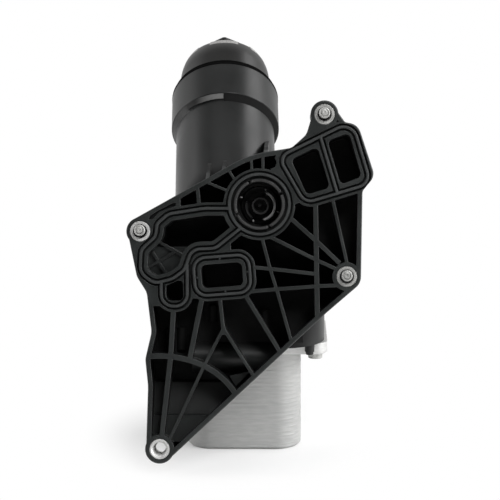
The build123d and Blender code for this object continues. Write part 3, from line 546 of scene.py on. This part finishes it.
# multiplies a colour by a ramp along an axis: the painted shade with depth in the housing, and the fade of
# the painted sheen
def shadeAlong(tree, tone, axis, start, stops):
    product = tree.nodes.new("ShaderNodeMix")
    product.data_type = "RGBA"
    product.blend_type = "MULTIPLY"
    product.inputs["Factor"].default_value = 1
    tree.links.new(tone, product.inputs["A"])
    tree.links.new(rampAlong(tree, axis, start, stops), product.inputs["B"])
    return product.outputs["Result"]


def makePlastic(name, look):  # black or pale plastic, rubber and paper
    material, tree, shader, vector = startMaterial(name)
    grain = tree.nodes.new("ShaderNodeGroup")
    grain.node_tree = mouldedGrain
    for label in ("Grain Scale", "Flow Scale", "Grain", "Flow", "Scuffs"):
        grain.inputs[label].default_value = look[label]
    tree.links.new(vector, grain.inputs["Vector"])
    tone = mixTones(tree, grain.outputs["Tone"], look["dark"], look["light"])
    worn = tree.nodes.new("ShaderNodeMix")
    worn.data_type = "RGBA"
    worn.inputs["B"].default_value = (*look["scuff"], 1)
    tree.links.new(grain.outputs["Scuff Mask"], worn.inputs["Factor"])
    tree.links.new(tone, worn.inputs["A"])
    tone = worn.outputs["Result"]
    # painted shade: the base colour darkens with depth behind the gasket face, in the grooves and deep
    # pockets
    if "depthShade" in look:
        tone = shadeAlong(tree, tone, "Y", 0, look["depthShade"])
    # painted sheen: the pale base colour fades out along X
    if "sheenFade" in look:
        tone = shadeAlong(tree, tone, "X", look["sheenFadeFrom"], look["sheenFade"])
    tree.links.new(tone, shader.inputs["Base Color"])
    rough = rangeTo(tree, grain.outputs["Tone"], look["roughLow"], look["roughHigh"])
    if "depthRough" in look:
        rough = addMath(tree, "ADD", rough, rampAlong(tree, "Y", 0, look["depthRough"]))
    tree.links.new(rough, shader.inputs["Roughness"])
    shader.inputs["IOR"].default_value = look["ior"]
    addBump(tree, shader, grain.outputs["Height"], look["bump"], look["bumpDepth"], look["edgeRound"])
    return material


def makeMetal(name, look):
    material, tree, shader, vector = startMaterial(name, look["stretch"])
    metal = tree.nodes.new("ShaderNodeGroup")
    metal.node_tree = drawnMetal
    for label in ("Line Scale", "Blotch Scale", "Lines", "Pits"):
        metal.inputs[label].default_value = look[label]
    tree.links.new(vector, metal.inputs["Vector"])
    tone = mixTones(tree, metal.outputs["Tone"], look["dark"], look["light"])
    if "boreDark" in look:  # the light doesn't reach into the gap round a bolt
        shade = tree.nodes.new("ShaderNodeMix")
        shade.data_type = "RGBA"
        shade.inputs["B"].default_value = (*look["boreDark"], 1)
        depth = rangeTo(tree, placeAlong(tree, "Y"), 0, 1, look["boreRange"])
        tree.links.new(depth, shade.inputs["Factor"])
        tree.links.new(tone, shade.inputs["A"])
        tone = shade.outputs["Result"]
    tree.links.new(tone, shader.inputs["Base Color"])
    shader.inputs["Metallic"].default_value = look["metallic"]
    rough = rangeTo(tree, metal.outputs["Blotch"], look["roughLow"], look["roughHigh"])
    tree.links.new(rough, shader.inputs["Roughness"])
    addBump(tree, shader, metal.outputs["Height"], look["bump"], look["bumpDepth"], look["edgeRound"])
    return material


fineSkin = {
    "Grain Scale": 3000.0, "Flow Scale": 90.0, "Grain": 0.3, "Flow": 0.2, "Scuffs": 0.1,
    "ior": 1.5, "bump": 0.2, "bumpDepth": 0.0001, "edgeRound": 0.0003,
}
rubberSkin = {**fineSkin, "Grain Scale": 3600.0, "Flow Scale": 120.0, "Grain": 0.6, "edgeRound": 0.0}
plasticLooks = {
    "glassFilledPlastic": {
        "Grain Scale": 2600.0, "Flow Scale": 45.0, "Grain": 0.5, "Flow": 0.35, "Scuffs": 0.25,
        "dark": (0.016, 0.018, 0.0176), "light": (0.024, 0.0268, 0.0262), "scuff": (0.06, 0.062, 0.06),
        "roughLow": 0.3, "roughHigh": 0.4, "ior": 1.5, "bump": 0.25, "bumpDepth": 0.0002,
        "edgeRound": 0.0007,
        # painted shade: base colour multipliers by depth along Y in mm, darkest in the grooves and deep
        # pockets
        "depthShade": [
            (0, 1.0), (0.6, 1.0), (1.2, 0.25), (3.5, 0.3), (6, 0.9), (14, 0.8), (20, 0.05), (30, 0.05),
            (45, 0.3), (60, 0.3),
        ],
        "depthRough": [(0, 0), (14, 0), (19, 0.5), (32, 0.5), (42, 0)],
    },
    "capPlastic": {
        "Grain Scale": 2200.0, "Flow Scale": 30.0, "Grain": 0.35, "Flow": 0.3, "Scuffs": 0.2,
        "dark": (0.006, 0.0058, 0.0055), "light": (0.01, 0.0097, 0.0092), "scuff": (0.04, 0.04, 0.04),
        "roughLow": 0.32, "roughHigh": 0.42, "ior": 1.5, "bump": 0.2, "bumpDepth": 0.0002,
        "edgeRound": 0.0006,
    },
    "innerPlastic": {
        **fineSkin, "ior": 1.4, "roughLow": 0.5, "roughHigh": 0.6,
        "dark": (0.003, 0.003, 0.003), "light": (0.005, 0.005, 0.005), "scuff": (0.01, 0.01, 0.01),
    },
    # painted highlight: a pale base colour for black plastic ribs and pins in the round port, standing for
    # the light they catch
    "paintedHighlightPlastic": {
        **fineSkin, "roughLow": 0.2, "roughHigh": 0.3,
        "dark": (0.25, 0.25, 0.25), "light": (0.5, 0.5, 0.5), "scuff": (0.6, 0.6, 0.6),
    },
    # painted sheen: a pale base colour stands for the light on the left of the collar's underside
    "paintedSheenPlastic": {
        **fineSkin, "ior": 1.4, "roughLow": 0.4, "roughHigh": 0.5,
        "dark": (0.12, 0.12, 0.118), "light": (0.2, 0.2, 0.197), "scuff": (0.2, 0.2, 0.2),
        "sheenFadeFrom": 13.0,
        "sheenFade": [(0, 0.02), (6, 0.1), (13, 0.7), (20, 0.9), (26, 0.9)],
    },
    "shadowPlastic": {
        **fineSkin, "Scuffs": 0.0, "ior": 1.2, "roughLow": 0.8, "roughHigh": 0.9,
        "dark": (0.008, 0.008, 0.008), "light": (0.011, 0.011, 0.011), "scuff": (0.02, 0.02, 0.02),
    },
    "cagePlastic": {
        **fineSkin, "roughLow": 0.34, "roughHigh": 0.44,
        "dark": (0.03, 0.03, 0.03), "light": (0.045, 0.045, 0.045), "scuff": (0.06, 0.06, 0.06),
    },
    "sealRubber": {
        **rubberSkin, "roughLow": 0.5, "roughHigh": 0.62,
        "dark": (0.02, 0.022, 0.022), "light": (0.03, 0.033, 0.033), "scuff": (0.05, 0.05, 0.05),
    },
    # near-black and without gloss, darker than rubber: the seals' own black plus painted shade in the gap
    # under the cap
    "shadeBlackSeal": {
        **rubberSkin, "Scuffs": 0.0, "ior": 1.15, "bump": 0.1, "roughLow": 0.9, "roughHigh": 1.0,
        "dark": (0.001, 0.001, 0.001), "light": (0.002, 0.002, 0.002), "scuff": (0.01, 0.01, 0.01),
    },
    "endCapPlastic": {
        **fineSkin, "Grain Scale": 2400.0, "Flow Scale": 80.0, "Grain": 0.4, "Flow": 0.3, "Scuffs": 0.2,
        "dark": (0.05, 0.055, 0.055), "light": (0.08, 0.085, 0.085), "scuff": (0.15, 0.15, 0.15),
        "roughLow": 0.4, "roughHigh": 0.5,
    },
    "filterPaper": {
        "Grain Scale": 1800.0, "Flow Scale": 200.0, "Grain": 1.0, "Flow": 0.4, "Scuffs": 0.3,
        "dark": (0.62, 0.52, 0.33), "light": (0.74, 0.65, 0.44), "scuff": (0.8, 0.74, 0.56),
        "roughLow": 0.85, "roughHigh": 0.95, "ior": 1.4, "bump": 0.6, "bumpDepth": 0.0002,
        "edgeRound": 0.0,
    },
}
metalLooks = {
    "zincSteel": {
        "Line Scale": 1400.0, "Blotch Scale": 160.0, "Lines": 0.6, "Pits": 0.4, "stretch": (1, 1, 1),
        "dark": (0.34, 0.34, 0.33), "light": (0.62, 0.62, 0.6), "metallic": 0.3,
        "roughLow": 0.3, "roughHigh": 0.45, "bump": 0.35, "bumpDepth": 0.0001, "edgeRound": 0.0002,
    },
    # painted shade: near-black steel for the bolt's shank and thread, so the gap round the bolt in its
    # sleeve renders dark
    "boreShadeSteel": {
        "Line Scale": 1800.0, "Blotch Scale": 300.0, "Lines": 0.6, "Pits": 0.3, "stretch": (1, 1, 1),
        "dark": (0.02, 0.02, 0.02), "light": (0.05, 0.05, 0.05), "metallic": 0.6,
        "roughLow": 0.35, "roughHigh": 0.5, "bump": 0.25, "bumpDepth": 0.0001, "edgeRound": 0.0,
    },
    "springSteel": {
        "Line Scale": 2400.0, "Blotch Scale": 400.0, "Lines": 0.6, "Pits": 0.1, "stretch": (1, 1, 1),
        "dark": (0.42, 0.41, 0.4), "light": (0.6, 0.59, 0.57), "metallic": 1.0,
        "roughLow": 0.25, "roughHigh": 0.38, "bump": 0.2, "bumpDepth": 0.0001, "edgeRound": 0.0,
    },
    "brazedAluminium": {
        "Line Scale": 700.0, "Blotch Scale": 60.0, "Lines": 0.7, "Pits": 0.5, "stretch": (0.15, 0.15, 1),
        "dark": (0.4, 0.405, 0.4), "light": (0.55, 0.55, 0.54), "metallic": 0.3,
        "roughLow": 0.55, "roughHigh": 0.7, "bump": 0.45, "bumpDepth": 0.0003, "edgeRound": 0.0006,
    },
    "platedAluminium": {
        "Line Scale": 900.0, "Blotch Scale": 80.0, "Lines": 0.5, "Pits": 0.5, "stretch": (0.3, 0.3, 1),
        "dark": (0.62, 0.62, 0.61), "light": (0.8, 0.8, 0.79), "metallic": 0.6,
        "roughLow": 0.35, "roughHigh": 0.5, "bump": 0.4, "bumpDepth": 0.0003, "edgeRound": 0.0005,
    },
}
# painted highlight: a pale copy of the cage plastic for the bands on the cap's dome
plasticLooks["bandPlastic"] = {
    **plasticLooks["cagePlastic"], "dark": (0.26, 0.255, 0.25), "light": (0.36, 0.355, 0.345),
}
boreShade = {"boreDark": (0.01, 0.01, 0.01), "boreRange": (0.0002, 0.0006)}
metalLooks["shadedZinc"] = {**metalLooks["zincSteel"], **boreShade}
# painted light: brighter copies of the zinc for the open and left sleeves, which catch more light; the left
# one also keeps the painted bore shade
metalLooks["paleZinc"] = {**metalLooks["zincSteel"], "dark": (0.6, 0.6, 0.59), "light": (0.85, 0.85, 0.84)}
metalLooks["paintedLitShadedZinc"] = {**metalLooks["paleZinc"], **boreShade}
finishes = {name: makePlastic(name, look) for name, look in plasticLooks.items()}
finishes.update({name: makeMetal(name, look) for name, look in metalLooks.items()})
print("materials built:", len(finishes))

nodeFinishes = {
    "glassFilledPlastic": ["housing"],
    "capPlastic": ["filter_cap"],
    "innerPlastic": ["check_valve_cage"],
    "cagePlastic": ["check_valve_poppet", "standpipe", "bypass_poppet", "bypass_retainer"],
    "shadeBlackSeal": ["cap_face_seal"],
    "sealRubber": ["gasket_ports", "gasket_rect", "gasket_twin", "cap_o_ring", "cooler_seals"],
    "endCapPlastic": ["filter_end_cap_top", "filter_end_cap_bottom", "filter_core"],
    "filterPaper": ["filter_media"],
    "zincSteel": ["sleeve_bottom", "bolt_top", "bolt_left", "bolt_right", "cooler_screws"],
    "shadedZinc": ["sleeve_top", "sleeve_right"],
    # painted light: the left sleeve gets the brighter zinc, with the bore shade
    "paintedLitShadedZinc": ["sleeve_left"],
    "springSteel": ["check_valve_spring", "bypass_spring"],
    "brazedAluminium": ["cooler_core", "cooler_end_plate"],
    "platedAluminium": ["cooler_mount_plate"],
}
for finish, names in nodeFinishes.items():
    for name in names:
        mesh = nodes[name].data
        mesh.materials.clear()
        mesh.materials.append(finishes[finish])


# Collar: near-black lip over its upper edge, for the cap seal and painted shade on the collar's rounded top;
# sloped faces under it, with painted shadow on the right slope and a painted sheen on the left

sectorShape = {"stepAngle": 3, "smooth": 30}  # of all parts of rings about the bowl's axis
collarShape = {
    "lip": [
        (39.22, 27.9), (39.35, 27.9), (39.35, 29.4), (39.0, 29.9), (37.9, 29.9), (37.9, 29.6), (38.95, 29.6),
        (39.22, 29.3),
    ],
    "lipSteps": 120, "lipSmooth": 50,
    "slope": [(35.4, -2.05), (38.7, -2.05), (35.4, -7.1)],
    "slopeArc": (270, 420),  # in degrees, 270 is toward the camera
    "sheen": [(36.6, -2.1), (38.8, -2.1), (36.75, -5.4)],
    "sheenArc": (225, 269.4),
}


def buildSector(profile, start, end):  # part of a ring about the bowl's axis
    piece = sweepProfile(profile, end - start, sectorShape["stepAngle"])
    placePiece(piece, bowlFrame @ Matrix.Rotation(radians(start), 4, "Z"))
    smoothBy(piece, sectorShape["smooth"])
    return piece


def buildCollar(shape):
    # the lip is a thin near-black shell over the collar's rounded top: part of the cap seal, and painted
    # shade on that edge
    lip = turnProfile(shape["lip"], steps=shape["lipSteps"])
    placePiece(lip, bowlFrame)
    smoothBy(lip, shape["lipSmooth"])
    finishPiece(lip, "sealLipPaintedShade", "cap", finishes["shadeBlackSeal"])
    slope = buildSector(shape["slope"], *shape["slopeArc"])
    finishPiece(slope, "collarSlope", "housing", finishes["shadowPlastic"])
    # painted sheen on the left of the collar's underside
    sheen = buildSector(shape["sheen"], *shape["sheenArc"])
    finishPiece(sheen, "collarSheen", "housing", finishes["paintedSheenPlastic"])
    print("collar dressed")


buildCollar(collarShape)


# Painted highlight bands on the cap's dome, one under each side of the hexagon: thin pale shells on the dome
# stand for the light it reflects there

bandShape = {
    "domeR": 33.2, "domeCentre": 47.5, "slopes": (19, 22, 25.5, 29.5), "lift": 0.08,
    "sides": 6, "firstSide": 270, "half": 20,
}


def buildBands(shape):
    outer, inner = shape["domeR"] + shape["lift"], shape["domeR"] - shape["lift"]
    slopes = [radians(slope) for slope in shape["slopes"]]
    corners = [(outer, slope) for slope in slopes] + [(inner, slope) for slope in reversed(slopes)]
    profile = [(reach * cos(slope), shape["domeCentre"] + reach * sin(slope)) for reach, slope in corners]
    bands = []
    for side in range(shape["sides"]):
        middle = shape["firstSide"] + side * 360 / shape["sides"]
        bands.append(buildSector(profile, middle - shape["half"], middle + shape["half"]))
    finishPiece(joinPieces(bands), "capHighlightBands", "cap", finishes["bandPlastic"])
    print("cap bands built")


buildBands(bandShape)


# Captive bolts: rolled thread with a small point sunk in its end, shank, flange and hexagon

boltShape = {
    "places": {"top": (109.9, 223.1), "left": (-13.0, 145.3), "right": (124.7, 115.1)},
    "hang": 0.6, "seat": 37.1, "reach": 5.0, "smooth": 35,
    "headFlat": 10.0, "headHeight": 6.0, "headRim": 1.3, "headEdge": 0.35,
    "sharp": 0.5,  # in radians, edges sharper than this are rounded
    "dish": (1.1, 0.5),  # width of its slope and depth, as in the point's edge and dimple
    "flangeR": 7.6, "flangeThick": 2.0, "flangeSunk": 1.0, "edge": 0.3, "turnSteps": 40,
    "shankR": 3.2, "tipR": 3.7, "tipLength": 1.4, "tipSlope": (0.5, 0.6), "tipBack": 0.2, "shadeGap": 0.1,
    "recessR": 2.55, "recessDeep": 0.8,
    "pointR": 2.1, "pointLift": 0.35, "pointEdge": (0.25, 0.12), "pointFlat": 1.15, "dimple": (0.5, 0.5),
    "threadR": 3.75, "rootR": 3.2, "pitch": 1.25, "threadLength": 16.0, "threadSteps": 28,
    "threadTrim": (0.2, 1.2),  # cut off at the thread's start and below the tip
}
threadProfile = [  # on the crest or at the root, height in pitches
    ("rootR", -1), ("rootR", -0.88), ("threadR", -0.56), ("threadR", -0.44), ("rootR", -0.12), ("rootR", 0),
]


def buildThread(shape):
    length, pitch = shape["threadLength"], shape["pitch"]
    piece = drawProfile([(shape[level], height * pitch) for level, height in threadProfile])
    bpy.ops.object.mode_set(mode="OBJECT")
    screw = piece.modifiers.new("thread", "SCREW")
    screw.axis = "Z"
    screw.steps = shape["threadSteps"]
    screw.render_steps = shape["threadSteps"]
    screw.screw_offset = pitch * mm
    screw.iterations = ceil(length / pitch)
    screw.use_merge_vertices = True
    screw.merge_threshold = mergeDistance
    applyModifiers(piece)
    bpy.ops.object.mode_set(mode="EDIT")
    bpy.ops.mesh.select_all(action="SELECT")
    bpy.ops.mesh.remove_doubles(threshold=mergeDistance)
    low, high = shape["threadTrim"]
    for height, outwards in ((low, -1), (length - high, 1)):
        bpy.ops.mesh.select_all(action="SELECT")
        bpy.ops.mesh.bisect(
            plane_co=(0, 0, height * mm), plane_no=(0, 0, outwards), use_fill=True, clear_outer=True
        )
    bpy.ops.mesh.select_all(action="SELECT")
    bpy.ops.mesh.fill_holes(sides=0)
    bpy.ops.mesh.normals_make_consistent(inside=False)
    bpy.ops.object.mode_set(mode="OBJECT")
    return piece


def buildShank(shape, head, flange, tip):  # flange, shank and the tip with its recess
    edge = shape["edge"]
    slopeIn, slopeBack = shape["tipSlope"]
    tipStart = tip - shape["tipLength"]
    end = tip - shape["tipBack"]
    recess = end - shape["recessDeep"]
    return turnProfile([
        (0, head - shape["flangeSunk"]), (shape["flangeR"] - edge, head), (shape["flangeR"], head + edge),
        (shape["flangeR"], flange - edge), (shape["flangeR"] - edge, flange),
        (shape["shankR"] + edge, flange), (shape["shankR"], flange + edge), (shape["shankR"], tipStart),
        (shape["tipR"], tipStart), (shape["tipR"], end - slopeBack), (shape["tipR"] - slopeIn, end),
        (shape["recessR"], end), (shape["recessR"], recess), (0, recess),
    ], steps=shape["turnSteps"], closed=False)


def insetEnd(slope, depth):  # the chosen end face shrinks by slope and moves by depth
    bpy.ops.mesh.inset(thickness=slope * mm)
    bpy.ops.transform.translate(value=(0, 0, depth * mm))


def buildPoint(shape, tip):
    clearSelection()
    bpy.ops.mesh.primitive_cylinder_add(
        vertices=32, radius=shape["pointR"] * mm, depth=shape["recessDeep"] * mm,
        location=(0, shape["pointLift"] * mm, (tip - shape["recessDeep"] / 2) * mm),
    )
    point = bpy.context.object
    bpy.ops.object.mode_set(mode="EDIT")
    pickFaces(point, lambda face: face.normal.z > facing)
    insetEnd(*shape["pointEdge"])
    bpy.ops.mesh.inset(thickness=shape["pointFlat"] * mm)
    slope, depth = shape["dimple"]
    insetEnd(slope, -depth)
    bpy.ops.object.mode_set(mode="OBJECT")
    return point


def buildHead(shape, head):  # a hexagon, dished in its end
    clearSelection()
    bpy.ops.mesh.primitive_cylinder_add(
        vertices=6, radius=shape["headFlat"] / 2 / cos(radians(30)) * mm, depth=head * mm,
        location=(0, 0, head / 2 * mm),
    )
    hexagon = bpy.context.object
    bpy.ops.object.mode_set(mode="EDIT")
    pickFaces(hexagon, lambda face: face.normal.z < -facing)
    bpy.ops.mesh.inset(thickness=shape["headRim"] * mm)
    insetEnd(*shape["dish"])
    pickEdges(hexagon, lambda edge: edge.calc_face_angle(0) > shape["sharp"])
    bpy.ops.mesh.bevel(offset=shape["headEdge"] * mm, segments=2)
    bpy.ops.object.mode_set(mode="OBJECT")
    return hexagon


def buildBolt(shape, head, flange, tip):
    shank = buildShank(shape, head, flange, tip)
    point = buildPoint(shape, tip)
    hexagon = buildHead(shape, head)
    thread = buildThread(shape)
    placePiece(thread, moveBy(0, 0, tip - shape["threadLength"]))
    bolt = joinPieces([shank, hexagon, thread, point])
    bolt.data.materials.clear()
    bolt.data.materials.append(finishes["zincSteel"])
    bolt.data.materials.append(finishes["boreShadeSteel"])
    # painted shade: the shank and thread between the flange and the tip get the near-black steel
    shadeEnd = tip - shape["tipLength"] - shape["shadeGap"]
    bpy.ops.object.mode_set(mode="EDIT")
    pickFaces(bolt, lambda face: flange * mm < face.calc_center_median().z < shadeEnd * mm)
    bolt.active_material_index = 1
    bpy.ops.object.material_slot_assign()
    bpy.ops.object.mode_set(mode="OBJECT")
    smoothBy(bolt, shape["smooth"])
    return bolt


def placeBolts(shape):
    head = shape["headHeight"]  # heights along the bolt, from the head's end at 0 to the tip
    flange = head + shape["flangeThick"]
    tip = flange + shape["seat"] + shape["reach"]
    pattern = buildBolt(shape, head, flange, tip)
    for name, (x, z) in shape["places"].items():
        bolt = copyPiece(pattern, "detailBolt_" + name)
        placePiece(bolt, moveBy(x, tip - shape["reach"], z + shape["hang"]) @ flangeFrame)
        finishPiece(bolt, bolt.name, name + "_bolt", None, ["bolt_" + name])
    bpy.data.objects.remove(pattern)
    print("bolts built")


placeBolts(boltShape)


# Sleeve of the open lug: its bore narrows to a shoulder half way in

sleeveShape = {
    "place": (0.0, 0.0), "outerR": 6.85, "length": 25.0, "edge": 0.4, "turnSteps": 56, "smooth": 35,
    "faceR": 5.5, "faceEdge": 0.2, "flareDeep": 1.2, "boreR": 4.5,
    "shoulderR": 3.4, "shoulderDeep": 12.0, "shoulderThick": 1.4,
    "frontSlope": (0.2, 1.2), "backSlope": 0.6,
}


def buildSleeve(shape):
    outer, bore, shoulder, face = shape["outerR"], shape["boreR"], shape["shoulderR"], shape["faceR"]
    length, edge, faceEdge = shape["length"], shape["edge"], shape["faceEdge"]
    deep = shape["shoulderDeep"]
    back = deep + shape["shoulderThick"]
    slopeIn, slopeBack = shape["frontSlope"]
    sleeve = turnProfile([
        (outer - edge, 0), (outer, edge), (outer, length - edge), (outer - edge, length),
        (bore + edge, length), (bore, length - edge), (bore, back + shape["backSlope"]), (shoulder, back),
        (shoulder, deep), (bore - slopeIn, deep - slopeBack), (bore, shape["flareDeep"]), (face, faceEdge),
        (face + faceEdge, 0),
    ], steps=shape["turnSteps"])
    x, z = shape["place"]
    placePiece(sleeve, moveBy(x, 0, z) @ Matrix.Rotation(radians(-90), 4, "X"))
    smoothBy(sleeve, shape["smooth"])
    # painted light: the open sleeve gets the brighter zinc copy
    finishPiece(sleeve, "sleeveOpen", "housing", finishes["paleZinc"], ["sleeve_bottom"])
    print("sleeve built")


buildSleeve(sleeveShape)


# Gaskets: a rounded bead, with small grips on the sides of the rectangular one

gasketShape = {
    "slim": 0.25, "lift": 0.6, "smooth": 50,
    "sideways": 0.3,  # a side face has less than this of Y in its normal
    "crown": 0.5, "crownSteps": 4, "crownBand": 0.1,
    "sharp": 1.0,  # in radians, front edges sharper than this get the crown
    "gripR": 0.75, "gripStretch": 1.6, "gripDepth": 0.6,
    "grips": {
        "gasket_rect": [(39.9, 127.0), (43.9, 105.0), (58.5, 118.3), (24.9, 114.3)],
        "gasket_ports": [],
        "gasket_twin": [],
    },
}


def buildGasket(shape, node):
    piece = copyNode(node, node + "_bead")
    front = min(vertex.co.y for vertex in piece.data.vertices)
    bpy.ops.object.mode_set(mode="EDIT")
    pickFaces(piece, lambda face: abs(face.normal.y) < shape["sideways"])
    bpy.ops.transform.shrink_fatten(value=-shape["slim"] * mm, use_even_offset=True)
    pickFaces(piece, lambda face: face.normal.y < -facing)
    bpy.ops.transform.translate(value=(0, -shape["lift"] * mm, 0))
    crownEnd = front + (shape["slim"] - shape["lift"] + shape["crownBand"]) * mm
    pickEdges(
        piece,
        lambda edge: all(vertex.co.y < crownEnd for vertex in edge.verts)
        and edge.calc_face_angle(0) > shape["sharp"],
    )
    bpy.ops.mesh.bevel(offset=shape["crown"] * mm, segments=shape["crownSteps"], clamp_overlap=True)
    bpy.ops.object.mode_set(mode="OBJECT")
    parts = [piece]
    for x, z in shape["grips"][node]:
        grip = addBall(shape["gripR"])
        placePiece(grip, moveBy(x, shape["gripDepth"], z) @ Matrix.Diagonal((1, shape["gripStretch"], 1, 1)))
        parts.append(grip)
    piece = joinPieces(parts)
    smoothBy(piece, shape["smooth"])
    finishPiece(piece, node + "_bead", "housing", finishes["sealRubber"], [node])


for gasketNode in gasketShape["grips"]:
    buildGasket(gasketShape, gasketNode)
print("gaskets built")


# Check valve cage in the round port: rim in four rounded segments, hub, ribs and pins

cageShape = {
    "centre": (66.5, 163.3), "shift": (0.5, -0.7),  # of the ribs, hub and pins
    "stepAngle": 4, "roundShare": 0.45, "smooth": 40,
    "rimR": 16.1, "rimHalf": 1.1, "rimFront": -0.2, "rimDeep": 2.4,
    "segments": [(33, 108), (120.5, 197.5), (210, 287.5), (300, 379)],
    "ribR": 9.7, "ribHalf": 0.85, "ribFront": 12.0, "ribDeep": 6.0, "ribs": [(-74, -22), (-14, 62)],
    "faintArc": (165, 232), "faintFront": 20.0, "faintDeep": 3.0,
    "hubR": 5.2, "hubHalf": 0.6, "hubFront": 16.0,
    "pins": [(11.6, 73, 1.0), (14.0, 156, 1.9), (11.2, 245, 1.8), (12.6, -19, 2.4)],
    "pinFront": 13.0, "pinHalf": 0.6,
}


def buildArc(radius, half, height, start, end):  # a bent rib with rounded ends, its crown at height 0
    edge = half * cageShape["roundShare"]
    inner, outer = radius - half, radius + half
    bar = sweepProfile([
        (inner, -height), (inner, -edge), (inner + edge, 0), (outer - edge, 0), (outer, -edge),
        (outer, -height),
    ], end - start, cageShape["stepAngle"])
    parts = [bar]
    nearTop = (height / 2 - edge / 10) * mm
    for angle in (0, end - start):
        clearSelection()
        place = Matrix.Rotation(radians(angle), 4, "Z") @ Vector((radius * mm, 0, -height / 2 * mm))
        bpy.ops.mesh.primitive_cylinder_add(
            vertices=24, radius=half * mm, depth=height * mm, location=place
        )
        endCap = bpy.context.object
        bpy.ops.object.mode_set(mode="EDIT")
        pickEdges(endCap, lambda side: all(vertex.co.z > nearTop for vertex in side.verts))
        bpy.ops.mesh.bevel(offset=edge * mm, segments=1)
        bpy.ops.object.mode_set(mode="OBJECT")
        parts.append(endCap)
    arc = joinPieces(parts)
    placePiece(arc, Matrix.Rotation(radians(start), 4, "Z"))
    return arc


def placeInPort(parts, front, shift, name, finish):
    x, z = cageShape["centre"]
    piece = joinPieces(parts)
    placePiece(piece, moveBy(x + shift[0], front, z + shift[1]) @ flangeFrame)
    smoothBy(piece, cageShape["smooth"])
    finishPiece(piece, name, "housing", finishes[finish])


def buildCage(shape):
    rims = [
        buildArc(shape["rimR"], shape["rimHalf"], shape["rimDeep"], start, end)
        for start, end in shape["segments"]
    ]
    placeInPort(rims, shape["rimFront"], (0, 0), "cageRim", "cagePlastic")
    ribs = [
        buildArc(shape["ribR"], shape["ribHalf"], shape["ribDeep"], start, end)
        for start, end in shape["ribs"]
    ]
    # painted highlight on the inner ribs
    placeInPort(ribs, shape["ribFront"], shape["shift"], "cageRib", "paintedHighlightPlastic")
    faint = buildArc(shape["ribR"], shape["ribHalf"], shape["faintDeep"], *shape["faintArc"])
    placeInPort([faint], shape["faintFront"], shape["shift"], "cageFaintRib", "cagePlastic")
    outer, inner = shape["hubR"] + shape["hubHalf"], shape["hubR"] - shape["hubHalf"]
    hub = turnProfile([(inner, 0), (outer, 0), (outer, -shape["ribDeep"]), (inner, -shape["ribDeep"])])
    placeInPort([hub], shape["hubFront"], shape["shift"], "cageHub", "cagePlastic")
    pins = []
    for radius, angle, length in shape["pins"]:
        pin = addBall(shape["pinHalf"])
        stretch = Matrix.Diagonal((length / shape["pinHalf"] / 2, 1, 1, 1))
        placePiece(pin, Matrix.Rotation(radians(angle), 4, "Z") @ moveBy(radius, 0, 0) @ stretch)
        pins.append(pin)
    # painted highlight on the pins
    placeInPort(pins, shape["pinFront"], shape["shift"], "cagePins", "paintedHighlightPlastic")
    print("check valve cage built")


buildCage(cageShape)


# Cooler stack: pressed cups nested in each other, each a little out of line

stackShape = {
    "size": (80.5, 70.0), "corner": 18.0, "cornerSteps": 12, "lip": 0.35, "height": 67.6, "layers": 23,
    # wall of one cup, from its floor up to the rolled lip: rise and growth of each step
    "wall": [(0.4, 0.0), (1.0, -0.12), (0.7, 0.06), (0.35, 0.14), (0.3, 0.0), (0.19, -0.08)],
    "drift": [0.05, -0.08, 0.1, -0.03, 0.06, -0.1, 0.02, 0.09, -0.06, 0.04, -0.02, 0.08],
    "swayStart": 3, "swayStep": 5,  # the list of drifts is walked another way for the second axis
    "smooth": 50,
}


def buildCup(shape):
    width, depth = shape["size"]
    clearSelection()
    bpy.ops.mesh.primitive_plane_add(size=1)
    cup = bpy.context.object
    flat = ((width - 2 * shape["lip"]) * mm, (depth - 2 * shape["lip"]) * mm, 1, 1)
    placePiece(cup, Matrix.Diagonal(flat))
    bpy.ops.object.mode_set(mode="EDIT")
    bpy.ops.mesh.select_all(action="SELECT")
    bpy.ops.mesh.bevel(offset=shape["corner"] * mm, segments=shape["cornerSteps"], affect="VERTICES")
    bpy.ops.mesh.select_all(action="SELECT")
    for rise, growth in shape["wall"]:
        bpy.ops.mesh.extrude_region_move(TRANSFORM_OT_translate={"value": (0, 0, rise * mm)})
        bpy.ops.transform.resize(value=(1 + 2 * growth / width, 1 + 2 * growth / depth, 1))
    bpy.ops.mesh.select_all(action="SELECT")
    bpy.ops.mesh.normals_make_consistent(inside=False)
    bpy.ops.object.mode_set(mode="OBJECT")
    return cup


def buildStack(shape):
    cup = buildCup(shape)
    drifts = shape["drift"]
    cups = []
    for layer in range(shape["layers"]):
        drift = drifts[layer % len(drifts)]
        sway = drifts[(layer * shape["swayStep"] + shape["swayStart"]) % len(drifts)]
        twin = copyPiece(cup, f"cup{layer}")
        placePiece(twin, moveBy(drift, sway, layer * shape["height"] / shape["layers"]))
        cups.append(twin)
    bpy.data.objects.remove(cup)
    stack = joinPieces(cups)
    placePiece(stack, coolerFrame)
    smoothBy(stack, shape["smooth"])
    finishPiece(stack, "coolerStack", "housing", finishes["brazedAluminium"], ["cooler_core"])
    print("cooler stack built")


buildStack(stackShape)
